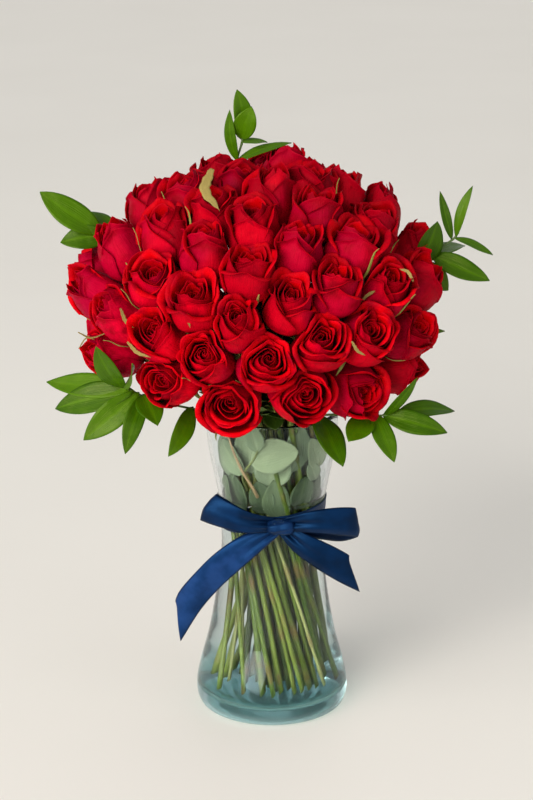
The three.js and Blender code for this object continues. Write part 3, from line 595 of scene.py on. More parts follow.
def petal_material():
    """Red outside and inside, with painted light and shade over it: darker on the higher heads, a
    pinker painted light on the outside at the left, darker at the right, and darker deep in the cup.
    """
    nodes = Nodes("petal")
    drawn, side, edge = nodes.tint()
    uv = nodes.uv()
    veins = nodes.noise(nodes.stretched(uv, (46, 5, 1)), 1.0, 4.0, 0.6)
    cloud = nodes.noise(nodes.place(), 70.0, 2.0)
    crimson = nodes.noise(nodes.place(), 17.0, 0.0)
    across, _, height = nodes.xyz(nodes.place())
    # Painted shade: the higher a head stands, the darker its red; the drawn tint adds a random tone to
    # it.
    tone_and_top_shade = nodes.scaled(nodes.math("ADD", drawn, nodes.ramp(height, (0.50, 0.34))), 0.5)
    outer = nodes.mix(tone_and_top_shade, (0.15, 0, 0.0050), (0.75, 0, 0.0120))
    # Painted light: the outside of the heads at the left turns pinker, as if lit from that side.
    outer = nodes.over(outer, nodes.ramp(across, (-0.08, -0.17)), (0.42, 0, 0.028))
    # Painted shade: the outside of the heads at the right turns darker.
    outer = nodes.over(outer, nodes.ramp(across, (0.05, 0.13)), (0.20, 0, 0.0080), 0.5)
    outer = nodes.over(outer, nodes.ramp(crimson, (0.50, 0.66)), (0.29, 0, 0.022), 0.6)
    inner = nodes.mix(tone_and_top_shade, (0.22, 0, 0.0015), (0.84, 0, 0.0025))
    # Painted shade: the inner side darkens deep in the cup, towards the petal's foot.
    inner = nodes.mix(nodes.ramp(nodes.xyz(uv)[1], (0.20, 0.62)), (0.075, 0, 0.0007), inner)
    colour = nodes.mix(side, inner, outer)
    colour = nodes.over(colour, nodes.ramp(cloud, (0.45, 0.75)), (0.237, 0, 0.0059))
    colour = nodes.over(colour, nodes.ramp(veins, (0.45, 0.75)), (0.185, 0, 0.0037), 0.35)
    colour = nodes.over(colour, edge, (0.341, 0, 0.0089), 0.5)
    nodes.set(Base_Color=colour, Roughness=nodes.scaled(veins, 0.2, 0.40), Specular_IOR_Level=0.03)
    waves = nodes.noise(nodes.place(), 95.0, 1.5)
    nodes.bump(nodes.scaled(waves, 2.6, veins), 0.0010, 0.6)
    return nodes.material


# The kinds of leaf: dark colour, light colour, the under side's, roughness, and how clear the veins
# are.
LEAF_LOOKS = {
    "ruscus_leaf": ((0.0096, 0.0444, 0.0007), (0.0607, 0.148, 0.0007), (0.0741, 0.141, 0.0148),
                    0.24, 0.5),
    "pale_leaf": ((0.085, 0.129, 0.079), (0.215, 0.258, 0.155), (0.133, 0.163, 0.104), 0.55, 0.5),
    # The pale leaf's colours darkened as painted shade, for the leaves low in the vase at the water.
    "pale_leaf_in_shade": ((0.038, 0.062, 0.035), (0.115, 0.157, 0.083), (0.0741, 0.104, 0.0593), 0.45, 0.5),
    "rose_leaf": ((0.0059, 0.0259, 0.0015), (0.0259, 0.0667, 0.0059), (0.0444, 0.0815, 0.0222),
                  0.4, 0.3),
    "under_leaf": ((0.0163, 0.063, 0.0015), (0.0963, 0.185, 0.0222), (0.148, 0.207, 0.0667),
                   0.35, 0.4),
    "sepal": ((0.119, 0.178, 0.0148), (0.370, 0.311, 0.0889), (0.178, 0.207, 0.0519), 0.5, 0.4),
    "dry_sepal": ((0.163, 0.104, 0.0222), (0.341, 0.267, 0.0889), (0.267, 0.222, 0.0741), 0.5, 0.6),
}
COATED = 0.35                    # only a leaf smoother than this has a glossy coat


def leaf_material(name):
    dark, light, under, rough, veined = LEAF_LOOKS[name]
    nodes = Nodes(name)
    drawn, side, edge = nodes.tint()
    cloud = nodes.noise(nodes.place(), 60.0, 4.0)
    veins = nodes.noise(nodes.stretched(nodes.uv(), (30, 1.2, 1)), 1.0, 2.0)
    tone = nodes.math("MULTIPLY_ADD", drawn, 0.6, nodes.scaled(cloud, 0.5), clamp=True)
    colour = nodes.mix(tone, dark, light)
    colour = nodes.over(colour, nodes.ramp(veins, (0.5, 0.7)), light, veined)
    colour = nodes.over(colour, edge, light)
    colour = nodes.over(colour, nodes.math("SUBTRACT", 1.0, side), under, 0.8)
    nodes.set(Base_Color=colour, Roughness=nodes.scaled(cloud, 0.2, rough),
              Specular_IOR_Level=0.22, Specular_Tint=(1.0, 1.0, 0.3, 1),
              Coat_Weight=0.05 * (rough < COATED), Coat_Roughness=0.15)
    waves = nodes.noise(nodes.place(), 90.0, 1.0)
    nodes.bump(nodes.scaled(waves, 2.5, veins), 0.0008, 0.6)
    return nodes.material


def stem_material():
    """Green, with paler stems among them, and painted shade that darkens the stems inside the bunch."""
    nodes = Nodes("stem")
    drawn, _, edge = nodes.tint()
    grain = nodes.noise(nodes.stretched(nodes.uv(), (14, 10, 1)), 1.0, 4.0)
    patch = nodes.noise(nodes.place(), 45.0, 3.0)
    colour = nodes.mix(drawn, (0.037, 0.0778, 0.003), (0.193, 0.230, 0.0259))
    colour = nodes.over(colour, nodes.ramp(drawn, (0.74, 0.78)), (0.311, 0.319, 0.111))
    colour = nodes.over(colour, nodes.ramp(grain, (0.45, 0.8)), (0.252, 0.274, 0.0815), 0.5)
    colour = nodes.over(colour, nodes.ramp(patch, (0.58, 0.70)), (0.119, 0.0556, 0.0148), 0.7)
    # Painted shade: stems towards the middle of the bunch are darkened, within a reach that narrows
    # higher up.
    place = nodes.place()
    flat = nodes.add("VectorMath", {0: place, 1: (1, 1, 0)}, operation="MULTIPLY").outputs[0]
    out = nodes.add("VectorMath", {0: flat}, operation="LENGTH").outputs["Value"]
    reach = nodes.scaled(nodes.xyz(place)[2], -0.13, 0.044)
    inside = nodes.ramp(nodes.math("DIVIDE", out, reach), (0.90, 0.50))
    colour = nodes.over(colour, inside, (0.030, 0.036, 0.016), 0.75)
    colour = nodes.over(colour, edge, (0.178, 0.0815, 0.0296))
    nodes.set(Base_Color=colour, Roughness=0.45, Specular_IOR_Level=0.4)
    nodes.bump(grain, 0.0006, 0.5)
    return nodes.material


def twig_material():
    """Brown bark, and green where the tint is full."""
    nodes = Nodes("twig")
    drawn = nodes.tint()[0]
    grain = nodes.noise(nodes.stretched(nodes.uv(), (10, 16, 1)), 1.0, 5.0)
    colour = nodes.mix(grain, (0.163, 0.0963, 0.0444), (0.370, 0.267, 0.133))
    colour = nodes.over(colour, drawn, (0.0741, 0.126, 0.0222))
    nodes.set(Base_Color=colour, Roughness=0.6)
    nodes.bump(grain, 0.0008, 0.7)
    return nodes.material


def glass_material():
    """Clear glass that turns green and less clear in the thick base."""
    nodes = Nodes("glass")
    height = nodes.xyz(nodes.place())[2]
    colour = nodes.mix(nodes.ramp(height, (0.034, 0.006)), (0.90, 0.94, 0.95), (0.34, 0.50, 0.50))
    clear = nodes.scaled(nodes.ramp(height, (0.013, 0.003)), -0.35, 1.0)
    nodes.set(Base_Color=colour, Roughness=0.0, IOR=1.45, Transmission_Weight=clear,
              Specular_Tint=(0.22, 0.25, 0.28, 1))
    nodes.let_lamps_through((0.86, 0.89, 0.89))
    nodes.bump(nodes.noise(nodes.stretched(nodes.place(), (14, 14, 5)), 1.0, 2.0), 0.0006, 0.25)
    return nodes.material


def water_material():
    nodes = Nodes("water")
    cloud = nodes.noise(nodes.place(), 30.0, 2.0)
    low = nodes.ramp(nodes.xyz(nodes.place())[2], (0.060, 0.012))
    colour = nodes.mix(cloud, (0.94, 0.98, 0.965), (0.97, 0.99, 0.98))
    colour = nodes.over(colour, low, (0.62, 0.83, 0.84))
    nodes.set(Base_Color=colour, Roughness=0.0, IOR=1.2, Transmission_Weight=1.0)
    nodes.let_lamps_through((0.97, 0.98, 0.98))
    return nodes.material


def satin_material():
    """Navy satin, with painted light and shade. The tint tells how much painted light a piece catches;
    cloudy patches mix painted shade and sheen, and the edge darkens the selvages and, as painted shade,
    the gathers by the knot.
    """
    nodes = Nodes("satin")
    lit, _, edge = nodes.tint()
    weave = nodes.noise(nodes.stretched(nodes.uv(), (260, 6, 1)), 1.0, 3.0, 0.6)
    cloud = nodes.noise(nodes.place(), 55.0, 3.0)
    # Painted light: lit sets how bright a piece is drawn.
    deep = nodes.mix(lit, (0.0002, 0.0028, 0.0140), (0.0020, 0.0140, 0.0580))
    light = nodes.mix(lit, (0.0005, 0.0085, 0.036), (0.0090, 0.0330, 0.1200))
    # Painted shade and sheen, in cloudy patches over the satin.
    colour = nodes.mix(nodes.ramp(cloud, (0.34, 0.66)), deep, light)
    # Darker at the selvages, and painted shade in the gathers by the knot.
    colour = nodes.over(colour, edge, (0.0003, 0.003, 0.0133), 0.7)
    nodes.set(Base_Color=colour, Roughness=nodes.scaled(weave, 0.15, 0.30),
              Specular_IOR_Level=0.42, Specular_Tint=(0.10, 0.40, 1.0, 1), Anisotropic=0.6)
    nodes.bump(weave, 0.0002, 0.5)
    return nodes.material


# ---------------------------------------------------------------- where the heads and stems are
def dome_direction(degrees_round, degrees_up):
    angle, lift = degrees_round * DEGREE, degrees_up * DEGREE
    return np.array((math.sin(angle) * math.cos(lift), -math.cos(angle) * math.cos(lift),
                     math.sin(lift)))


def make_heads():
    middles = [dome_direction(angle, lift) * DOME_RADII + DOME_MIDDLE for angle, lift, _ in HEADS]
    heads = []
    for i, middle in enumerate(press_apart(middles, HEAD_SPACING)):
        draw = draws("heads", i)
        opened = HEADS[i][2]
        height = HEAD_HEIGHT - HEAD_FLATTENING * opened
        radius = HEAD_RADIUS + HEAD_OPENING * opened + HEAD_VARIATION * (draw() - 0.5)
        slope = (middle - DOME_MIDDLE) / DOME_RADII / DOME_RADII
        look = np.interp(HEADS[i][1], *np.array(FACING).T) * DEGREE
        axis = unit(slope * (1, 1, 0)) * math.cos(look) + UP * math.sin(look)
        foot = middle - axis * height / 2
        across = turned(unit(np.cross(UP, axis)), axis, draw() * 2 * math.pi)
        heads.append({"opened": opened, "height": height, "radius": radius, "axis": axis,
                      "foot": foot, "across": across, "other": np.cross(axis, across),
                      "tip": foot + axis * height})
    return heads


def make_stem_paths(heads):
    bunch = []
    for head, (_, lift, _) in zip(heads, HEADS):
        from_top = (90 - lift) * DEGREE
        share = math.sqrt((1 - math.cos(from_top)) / (1 - math.cos(LOWEST_REACH)))
        out = (head["foot"] - DOME_MIDDLE) * (1, 1, 0)
        bunch.append(unit(out) * share)
    press_apart(bunch, BUNCH_SPACING)
    paths = []
    for i, head in enumerate(heads):
        draw = draws("stem_paths", i)

        def at(radius, turn, height, place=bunch[i]):
            return turned(place * radius, UP, turn) * (1, 1, 0) + UP * height

        foot_turn = TIE_TURN + FEET_TURN * mix(1 - FEET_SPREAD, 1 + FEET_SPREAD, draw())
        top = head["foot"] - head["axis"] * GAP
        paths.append(np.array([
            at(FEET_RADIUS, foot_turn, FLOOR + FEET_LOWEST + FEET_STEP * draw()),
            at(TIE_RADIUS, TIE_TURN, TIE_HEIGHT), at(MOUTH_RADIUS, 0, MOUTH_HEIGHT),
            top - head["axis"] * NECK, top - head["axis"] * CALYX_LENGTH, top]))
    return paths


def nearest(a, b, c, d):
    """Nearest points of two straight stretches, a to b and c to d."""
    ab, cd, ac = b - a, d - c, a - c
    e, f, g, h, k = ab @ ab, cd @ cd, ab @ cd, ab @ ac, cd @ ac
    spread = e * f - g * g
    s = min(1, max(0, (g * k - h * f) / spread)) if spread > 1e-9 else 0
    t = min(1, max(0, (g * s + k) / f))
    s = min(1, max(0, (g * t - h) / e))
    return a + ab * s, c + cd * t


FENCE_REACH = 60                 # a plane further than this from a head never touches its petals


def make_fences(own, heads, paths):
    """The planes that a head's petals stay behind: between it and the next head, and short of a
    stem."""
    head = heads[own]
    normals, limits = [], []

    def fence(start, end, reach):
        if reach < FENCE_REACH:
            normal = unit(end - start)
            normals.append(normal)
            limits.append(start @ normal + reach)

    for j, other in enumerate(heads):
        if j != own:
            start, end = nearest(head["foot"], head["tip"], other["foot"], other["tip"])
            share = head["radius"] / (head["radius"] + other["radius"])
            fence(start, end, np.linalg.norm(end - start) * share)
    for j, path in enumerate(paths):
        if j != own:
            for k in range(1, len(path)):
                wide = CALYX_RADIUS if k == len(path) - 1 else STEM_RADIUS
                start, end = nearest(head["foot"], head["tip"], path[k - 1], path[k])
                fence(start, end, np.linalg.norm(end - start) - wide)
    return np.array(normals), np.array(limits)


def squeeze(head, fences, angle, height, radius, filling):
    """Keeps each point behind the head's fences, and lets it spread into free space by filling."""
    direction = np.cos(angle)[..., None] * head["across"] + np.sin(angle)[..., None] * head["other"]
    origin = head["foot"] + height[..., None] * head["axis"]
    normals, limits = fences
    speed = direction @ normals.T
    room = np.where(speed > 1e-3, (limits - origin @ normals.T) / np.maximum(speed, 1e-3), 1e3)
    room = np.maximum(room.min(-1), 1.0)
    level, reach = np.array(ENVELOPE).T
    full = np.interp(height / head["height"], level, reach) * head["radius"]
    kept = filling - np.log1p(np.exp((filling - room / full) * 14)) / 14
    return origin, direction, radius * np.clip(kept, 0.3, filling)


# ---------------------------------------------------------------- rose heads
def petal(shape, head, fences, layer, first, draw):
    """Adds one petal: a cupped body from the foot to its rim, and a lip that rolls out."""
    opened = head["looks_open"]

    def pick(pair):
        return mix(pair[0], pair[1], opened)

    u = np.linspace(-1, 1, PETAL_COLUMNS[layer["span"] > WIDE_SPAN])
    tone = draw()
    top_radius = head["radius"] * pick(layer["radius"]) * mix(0.90, 1.08, draw())
    top_height = head["height"] * pick(layer["height"]) * mix(0.94, 1.05, draw())
    full = head["radius"] * pick(layer["belly"])
    roll = pick(layer["roll"]) * DEGREE * mix(0.4, 1.8, draw())
    lip = layer["lip"] * mix(0.7, 1.4, draw())
    pointed = mix(0.3, 1.1, draw())
    lean = mix(-0.12, 0.12, draw())
    wave, phase = mix(0.01, 0.03, draw()), draw() * 6.3

    length = 1 - layer["rounding"] * np.abs(u + lean) ** 2.4
    length = length + TIP_REACH * pointed * np.exp(-((u + lean) / 0.15) ** 2)
    rows = np.concatenate((np.linspace(0, 1, BODY_ROWS), np.ones(LIP_ROWS)))
    t = rows[:, None] * length[None, :]
    low = np.array((0.10 * head["radius"], 0.02 * head["height"]))
    belly = np.array((full * 1.10, 0.07 * head["height"]))
    shoulder = np.array((full * 1.17, 0.60 * top_height))
    top = np.array((top_radius, top_height))
    weight = np.stack(((1 - t) ** 3, 3 * (1 - t) ** 2 * t, 3 * (1 - t) * t ** 2, t ** 3), -1)
    body = weight @ np.array((low, belly, shoulder, top))
    slope = np.stack((3 * (1 - t) ** 2, 6 * (1 - t) * t, 3 * t ** 2), -1) @ np.array(
        (belly - low, shoulder - belly, top - shoulder))
    climb = np.arctan2(slope[..., 1], slope[..., 0])

    corners = np.exp(-((np.abs(u + lean) - 0.55) / 0.3) ** 2)
    turn = roll * (0.65 + 0.6 * corners) + 0.02
    reach = lip * (1 - 0.45 * np.abs(u) ** 3)
    rolled = np.concatenate((np.zeros(BODY_ROWS), np.linspace(0, 1, LIP_ROWS + 1)[1:]))[:, None]
    bend = rolled * turn
    curl = (reach / turn)[None, :]
    radius = body[..., 0] + curl * (np.sin(climb) - np.sin(climb - bend))
    height = body[..., 1] + curl * (np.cos(climb - bend) - np.cos(climb))

    rim = np.minimum(t, 1) ** 2
    radius = radius * (1 + layer["wind"] * u[None, :] * (0.3 + 0.7 * rim))
    radius = radius + head["radius"] * wave * np.sin(3.1 * u + phase)[None, :] * rim
    height = height + head["height"] * wave * np.sin(4.3 * u + 2 * phase)[None, :] * rim
    middle = first + mix(-0.2, 0.2, draw())
    angle = middle + layer["span"] * u[None, :] * (0.70 + 0.30 * t)
    origin, direction, kept = squeeze(head, fences, angle, height, radius, layer["filling"])
    grid = origin + direction * kept[..., None]

    thick = np.full(grid.shape[:2], PETAL_THICKNESS)
    thick[-1] *= PETAL_EDGE
    thick[:, [0, -1]] *= PETAL_EDGE
    shape.leaf(grid, thick, tone, rolled)


def rose(shape, number, heads, paths):
    """One head's petals, leaning a little from its stem."""
    fences = make_fences(number, heads, paths)
    draw = draws("petals", number)
    first = draw() * 6.3
    tilt, towards = HEAD_TILT * draw(), draw() * 6.3
    pivot = heads[number]["across"] * math.cos(towards) + heads[number]["other"] * math.sin(towards)
    head = {**heads[number], **{
        key: turned(heads[number][key], pivot, tilt) for key in ("axis", "across", "other")}}
    head["looks_open"] = min(1, max(0, head["opened"] + mix(*OPENING_VARIATION, draw())))
    for layer in LAYERS:
        first += LAYER_TURN
        for k in range(layer["petals"]):
            petal(shape, head, fences, layer, first + k * 2 * math.pi / layer["petals"], draw)


def make_roses(heads, paths):
    material = petal_material()
    for node in sorted(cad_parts):
        if not node.startswith("rose_") or node == "rose_stems":
            continue
        shape = Shape()
        for part in node.split("_")[1:]:
            rose(shape, int(part) - 1, heads, paths)
        shape.made(node + "_petals", material, "petal", node)


# ---------------------------------------------------------------- stems, calyxes and sepals
# The cup under a head, as (share of its length, radius).
CUP = ((0.25, 3.6), (0.5, CALYX_RADIUS), (0.75, 4.9), (0.9, CALYX_RADIUS), (1.0, 3.8))


def stem(shape, number, path):
    """A green stem with knots where leaves grew, a slanted cut foot and a cup under the head."""
    draw = draws("stems", number)
    line = spline(path[:5], STEM_STEPS)
    cup = path[5] - path[4]
    line = np.vstack((line, [path[4] + cup * share for share, _ in CUP]))
    run = run_along(line)
    drawn = draw()
    wide = STEM_RADIUS * (0.55 if drawn > 0.75 else mix(0.72, 1.08, draw()))
    radii = np.full(len(line), wide) * (1.08 - 0.16 * run / run[-1])
    edge = np.zeros(len(line))
    place = mix(8, 30, draw())
    while place < run[-1] - 30:
        near = np.exp(-((run - place) / 2.6) ** 2)
        radii += near * mix(0.3, 0.9, draw())
        edge = np.maximum(edge, near * mix(0.2, 0.9, draw()))
        place += mix(28, 52, draw())
    radii[-len(CUP):] = [radius for _, radius in CUP]
    wobble = 0.8 * np.sin(run / mix(18, 30, draw()) + draw() * 6.3) * np.sin(math.pi * run / run[-1])
    line[:, 0] += wobble
    line[:, 1] += wobble * mix(-1, 1, draw())
    shape.tube(line, radii, 12, drawn, edge, cut=0.9)


SEPAL = {"width": 5.5, "thin": 2.8, "rows": 14, "columns": 5}
SEPAL_THICKNESS = 0.4
SEPAL_HANGING = 0.55             # share of the sepals that bend away from the petals
SEPAL_REACHING = 0.3             # share of the heads that have one reaching up between the heads
SEPAL_TRIES = 24                 # directions that are looked at for free room


def sepal(shape, head, line, angle, width, draw):
    """A narrow pointed sepal along a line of (share of the head's radius, share of its height)."""
    line = spline([(a * head["radius"], b * head["height"], 0) for a, b in line], 5)
    share = np.linspace(0, 1, SEPAL["rows"])
    step = np.linspace(0, len(line) - 1, SEPAL["rows"])
    run_r = np.interp(step, np.arange(len(line)), line[:, 0])
    run_z = np.interp(step, np.arange(len(line)), line[:, 1])
    u = np.linspace(-1, 1, SEPAL["columns"])
    half = width / 2 * mix(0.7, 1.2, draw()) * (1 - share ** 1.7) ** 0.8 + 0.2
    swing = angle + mix(-0.25, 0.25, draw()) * share ** 2
    out = np.cos(swing)[:, None] * head["across"] + np.sin(swing)[:, None] * head["other"]
    side = np.cross(head["axis"], out)
    middle = head["foot"] + out * run_r[:, None] + head["axis"] * run_z[:, None]
    grid = middle[:, None, :] + side[:, None, :] * (half[:, None] * u)[..., None]
    grid += out[:, None, :] * (-0.2 * half[:, None] * u ** 2)[..., None]
    shape.leaf(grid, SEPAL_THICKNESS, draw(), share[:, None] ** 3 * (draw() > 0.5))


def freest_direction(head, fences):
    """The direction from a head's axis in which the most room is left between its neighbours."""
    angle = np.arange(SEPAL_TRIES) * 2 * math.pi / SEPAL_TRIES
    out = np.outer(np.cos(angle), head["across"]) + np.outer(np.sin(angle), head["other"])
    normals, limits = fences
    origin = head["foot"] + head["axis"] * head["height"] * 0.6
    speed = np.maximum(out @ normals.T, 1e-3)
    room = ((limits - origin @ normals.T) / speed).min(1)
    return angle[np.argmax(room)]


def make_sepals(heads, paths):
    """Sepals round each head's foot, and now and then one that reaches up between the heads."""
    shape = Shape()
    for number, head in enumerate(heads):
        draw = draws("sepals", number)
        for k in range(4):
            angle = k * math.pi / 2 + draw()
            if draw() < SEPAL_HANGING:
                tip = mix(-0.30, -0.12, draw())
                line = ((0.12, 0.01), (0.48, -0.01), (0.80, -0.06), (1.00, tip))
            else:
                line = ((0.12, 0), (0.62, 0.06), (0.90, 0.26), (0.99, 0.50))
            sepal(shape, head, line, angle, SEPAL["width"], draw)
        angle = freest_direction(head, make_fences(number, heads, paths))
        if draw() < SEPAL_REACHING:
            top = mix(0.55, 1.0, draw())
            line = ((0.12, 0), (0.66, 0.08), (0.95, 0.40), (0.97, top), (1.02, top + 0.12))
            sepal(shape, head, line, angle, SEPAL["thin"], draw)
    shape.made("sepals", leaf_material("sepal"), "leaf")


def make_stems(paths):
    shape = Shape()
    for number, path in enumerate(paths):
        stem(shape, number, path)
    shape.made("stems_and_calyxes", stem_material(), "stem", "rose_stems")


# ---------------------------------------------------------------- foliage
def blade(shape, leaf, draw, broad=False):
    """A leaf from root to tip: a folded, arched and slightly twisted blade with a midrib."""
    root, tip, width, facing, arch = (*leaf, ARCH)[:5]
    root, tip = np.array(root, float), np.array(tip, float)
    length = np.linalg.norm(tip - root) + TWIG_RADIUS
    along = unit(tip - root)
    root = root - along * TWIG_RADIUS
    side = unit(np.cross(along, facing))
    normal = unit(np.cross(side, along))
    share = np.linspace(0, 1, BLADE_ROWS)
    share = share + 0.04 * np.sin(2 * math.pi * share)
    u = np.linspace(-1, 1, BLADE_COLUMNS)
    if broad:
        spread = np.sin(math.pi * np.clip(share, 0, 1) ** 0.85) ** 0.62
    else:
        spread = share ** 0.75 * (1 - share) ** 0.85
        spread = spread / spread.max()
    half = width / 2 * np.maximum(spread, 0.03)
    droop = mix(-0.02, 0.05, draw())
    bend = mix(-0.05, 0.05, draw())
    twist = mix(-0.35, 0.35, draw()) * (share - 0.4)
    sway = length * bend * np.sin(math.pi * share)
    lift = length * (4 * arch * share * (1 - share) - droop * share ** 3 * (1 - share) * 4)
    middle = root + along * (share * length)[:, None] + normal * lift[:, None] + side * sway[:, None]
    across = side * np.cos(twist)[:, None] + normal * np.sin(twist)[:, None]
    rise = normal * np.cos(twist)[:, None] - side * np.sin(twist)[:, None]
    wave = 0.05 * half[:, None] * np.sin(9 * share + draw() * 6)[:, None] * u ** 2
    fold = BLADE_FOLD * half[:, None] * np.abs(u) ** 1.4 - 0.25 * np.exp(-(u / 0.09) ** 2)
    grid = (middle[:, None, :] + across[:, None, :] * (half[:, None] * u)[..., None]
            + rise[:, None, :] * (fold + wave)[..., None])
    rib = np.exp(-(u / 0.07) ** 2) * 0.7
    thick = BLADE_THICKNESS * (1 - 0.6 * np.abs(u) ** 3) + 0.4 * np.exp(-(u / 0.12) ** 2)
    shape.leaf(grid, thick, draw(), rib)


def make_foliage():
    # The third is the pale leaf darkened as painted shade.
    green, pale, shaded_pale = (leaf_material(name) for name in ("ruscus_leaf", "pale_leaf", "pale_leaf_in_shade"))
    twig = twig_material()
    sprays = [(name, name, 0.0) for name in SPRAYS] + list(BEHIND)
    for number, (name, source, angle) in enumerate(sprays):
        in_mouth = name.startswith("mouth")
        slot = "pale_leaf" if in_mouth else "leaf"
        draw = draws("foliage", number)
        leaves, stalk = Shape(), Shape()
        for leaf in SPRAYS[source]["leaves"]:
            blade(leaves, leaf, draw, in_mouth)
        line = spline(SPRAYS[source]["twig"], TWIG_STEPS)
        radii = np.linspace(TWIG_RADIUS, 0.65 * TWIG_RADIUS, len(line))
        radii = radii + 0.25 * (np.sin(np.arange(len(line)) * 1.7) > 0.9)
        stalk.tube(line, radii, TWIG_SIDES, 0.8 if in_mouth else 1.0)
        leaves.made(name + "_leaves", pale if in_mouth else green, slot, name, angle)
        stalk.made(name + "_twig", twig, slot, angle=angle)
    make_mouth_collar(pale, shaded_pale, twig)


# The roses' own leaves, inside the dome and just above the mouth. count is how many each stem has, and
# starts is where they begin: how far below the calyx, or how high above the table. swing is their
# direction round, from +X or, if outward, from straight out, and rise is how steeply they climb.
ROSE_LEAF = {"count": 10, "starts": (8, 90), "swing": (0, 2 * math.pi), "outward": False,
             "rise": (-0.1, 0.7), "length": (26, 42), "width": 0.56}
UNDER_LEAF = {"count": 2, "starts": (277, 306), "swing": (-1.0, 1.0), "outward": True,
              "rise": (-0.3, 0.6), "length": (24, 38), "width": 0.5}
LEAF_TO_HEAD = 0.7               # how near to a head a leaf may come, as a share of its radius


def inside_dome(points):
    return (np.linalg.norm((points - DOME_MIDDLE) / DOME_RADII, axis=1) < 1).all()


def clear_of_heads(points, heads):
    """Whether all the points lie outside every head."""
    for head in heads:
        along = np.clip((points - head["foot"]) @ head["axis"], 0, head["height"])
        near = head["foot"] + along[:, None] * head["axis"]
        if (np.linalg.norm(points - near, axis=1) < LEAF_TO_HEAD * head["radius"]).any():
            return False
    return True


def stem_leaves(shape, kind, line, along, heads, draw):
    """Adds a stem's leaves of one kind. along places the line's points by the measure of starts."""
    for _ in range(kind["count"]):
        start = mix(*kind["starts"], draw())
        root = np.array([np.interp(start, along, line[:, k]) for k in range(3)])
        straight = math.atan2(root[1], root[0]) if kind["outward"] else 0
        swing = straight + mix(*kind["swing"], draw())
        rise = mix(*kind["rise"], draw())
        length = mix(*kind["length"], draw())
        reach = root + np.outer((0.35, 0.7, 1.0), heading(swing, rise)) * length
        free = kind["outward"] or (root[2] > MOUTH_HEIGHT and inside_dome(reach))
        if free and clear_of_heads(reach, heads):
            blade(shape, (root, reach[2], kind["width"] * length, (0, 0, 1), -ARCH), draw)


def make_rose_leaves(heads, paths):
    """Dark leaves inside the dome, which close it between the heads."""
    halves = (Shape(), Shape())
    for number, path in enumerate(paths):
        line = spline(path[1:5], STEM_STEPS)[::-1]
        draw = draws("rose_leaves", number)
        stem_leaves(halves[number % 2], ROSE_LEAF, line, run_along(line), heads, draw)
    material = leaf_material("rose_leaf")
    for number, shape in enumerate(halves):
        shape.made("rose_leaves_%d" % (number + 1), material, "leaf")


def make_under_leaves(heads, paths):
    shape = Shape()
    for number, path in enumerate(paths):
        line = spline(path[1:5], STEM_STEPS)
        stem_leaves(shape, UNDER_LEAF, line, line[:, 2], heads, draws("under_leaves", number))
    shape.made("under_leaves", leaf_material("under_leaf"), "leaf")


# Sepals that have dried to tan and yellow on the petals: (three points, width, facing).
DRY_SEPALS = (
    (((-42, -80, 460), (-54, -66, 476), (-48, -56, 489)), 7.5, (0.1, -1, 0.6)),
    (((-111, -104, 370), (-118, -99, 375), (-122, -89, 382)), 2.6, (0, -1, 0.4)),
    (((-97, -123, 351), (-109, -113, 353), (-116, -106, 359)), 2.6, (0, -1, 0.4)),
    (((-65, -129, 377), (-67, -125, 387), (-60, -120, 396)), 2.6, (0, -1, 0.2)),
    (((82, -98, 399), (78, -95, 396), (71, -93, 389)), 2.2, (0, -1, 0.2)),
    (((102, -86, 414), (109, -86, 411), (113, -88, 404)), 2.2, (0, -1, 0.2)),
    (((74, -118, 351), (67, -122, 357), (63, -125, 365)), 2.2, (0, -1, 0.2)),
    (((-134, -77, 358), (-148, -74, 353), (-158, -72, 357)), 1.6, (0, -0.3, 1)),
    (((-134, -65, 342), (-151, -60, 349), (-159, -58, 339)), 1.6, (0, -0.3, 1)),
)


def make_dry_sepals():
    shape = Shape()
    draw = draws("dry_sepals")
    u = np.linspace(-1, 1, 7)
    for points, width, facing in DRY_SEPALS:
        line = spline(points, 16)
        share = np.linspace(0, 1, len(line))
        side = np.cross(np.gradient(line, axis=0), facing)
        side /= np.linalg.norm(side, axis=1, keepdims=True)
        half = width / 2 * (1 - np.abs(2 * share - 1.1) ** 3).clip(0, 1) ** 0.7 + 0.1
        torn = np.sin(share[:, None] * 31 + np.sign(u) * 1.7 + draw() * 6)
        ragged = 1 + 0.16 * np.sin(share[:, None] * 9 + np.sign(u) * 2.1) + 0.16 * torn ** 3
        swell = 0.08 * half[:, None] * (1 - u ** 2) - 0.3 * np.exp(-(u / 0.2) ** 2)
        grid = (line[:, None, :] + side[:, None, :] * (half[:, None] * u * ragged)[..., None]
                + unit(np.array(facing, float)) * swell[..., None])
        shape.leaf(grid, SEPAL_THICKNESS, draw(), 0.0)
    shape.made("dry_sepals", leaf_material("dry_sepal"), "leaf")


# Two rings of broad pale leaves inside the mouth, behind those that have nodes of their own: above, and
# at the water, where the pale colours are darkened as painted shade. The radii are those of a leaf's
# root and tip; in front the leaves stand further in.
COLLARS = {
    "mouth_collar_leaves": {"count": 11, "roots": (210, 230), "length": (34, 44), "width": (24, 31),
                            "radii": (38.5, 42.5)},
    "water_line_leaves": {"count": 13, "roots": (183, 190), "length": (26, 34), "width": (22, 28),
                          "radii": (36, 42)},
}
COLLAR_IN_FRONT = 0.86
BENT_TWIG = ((-37, -33, 263), (-34, -38, 250), (-29, -41, 237), (-24, -41.5, 226), (-16, -41, 212),
             (-12, -37, 202))


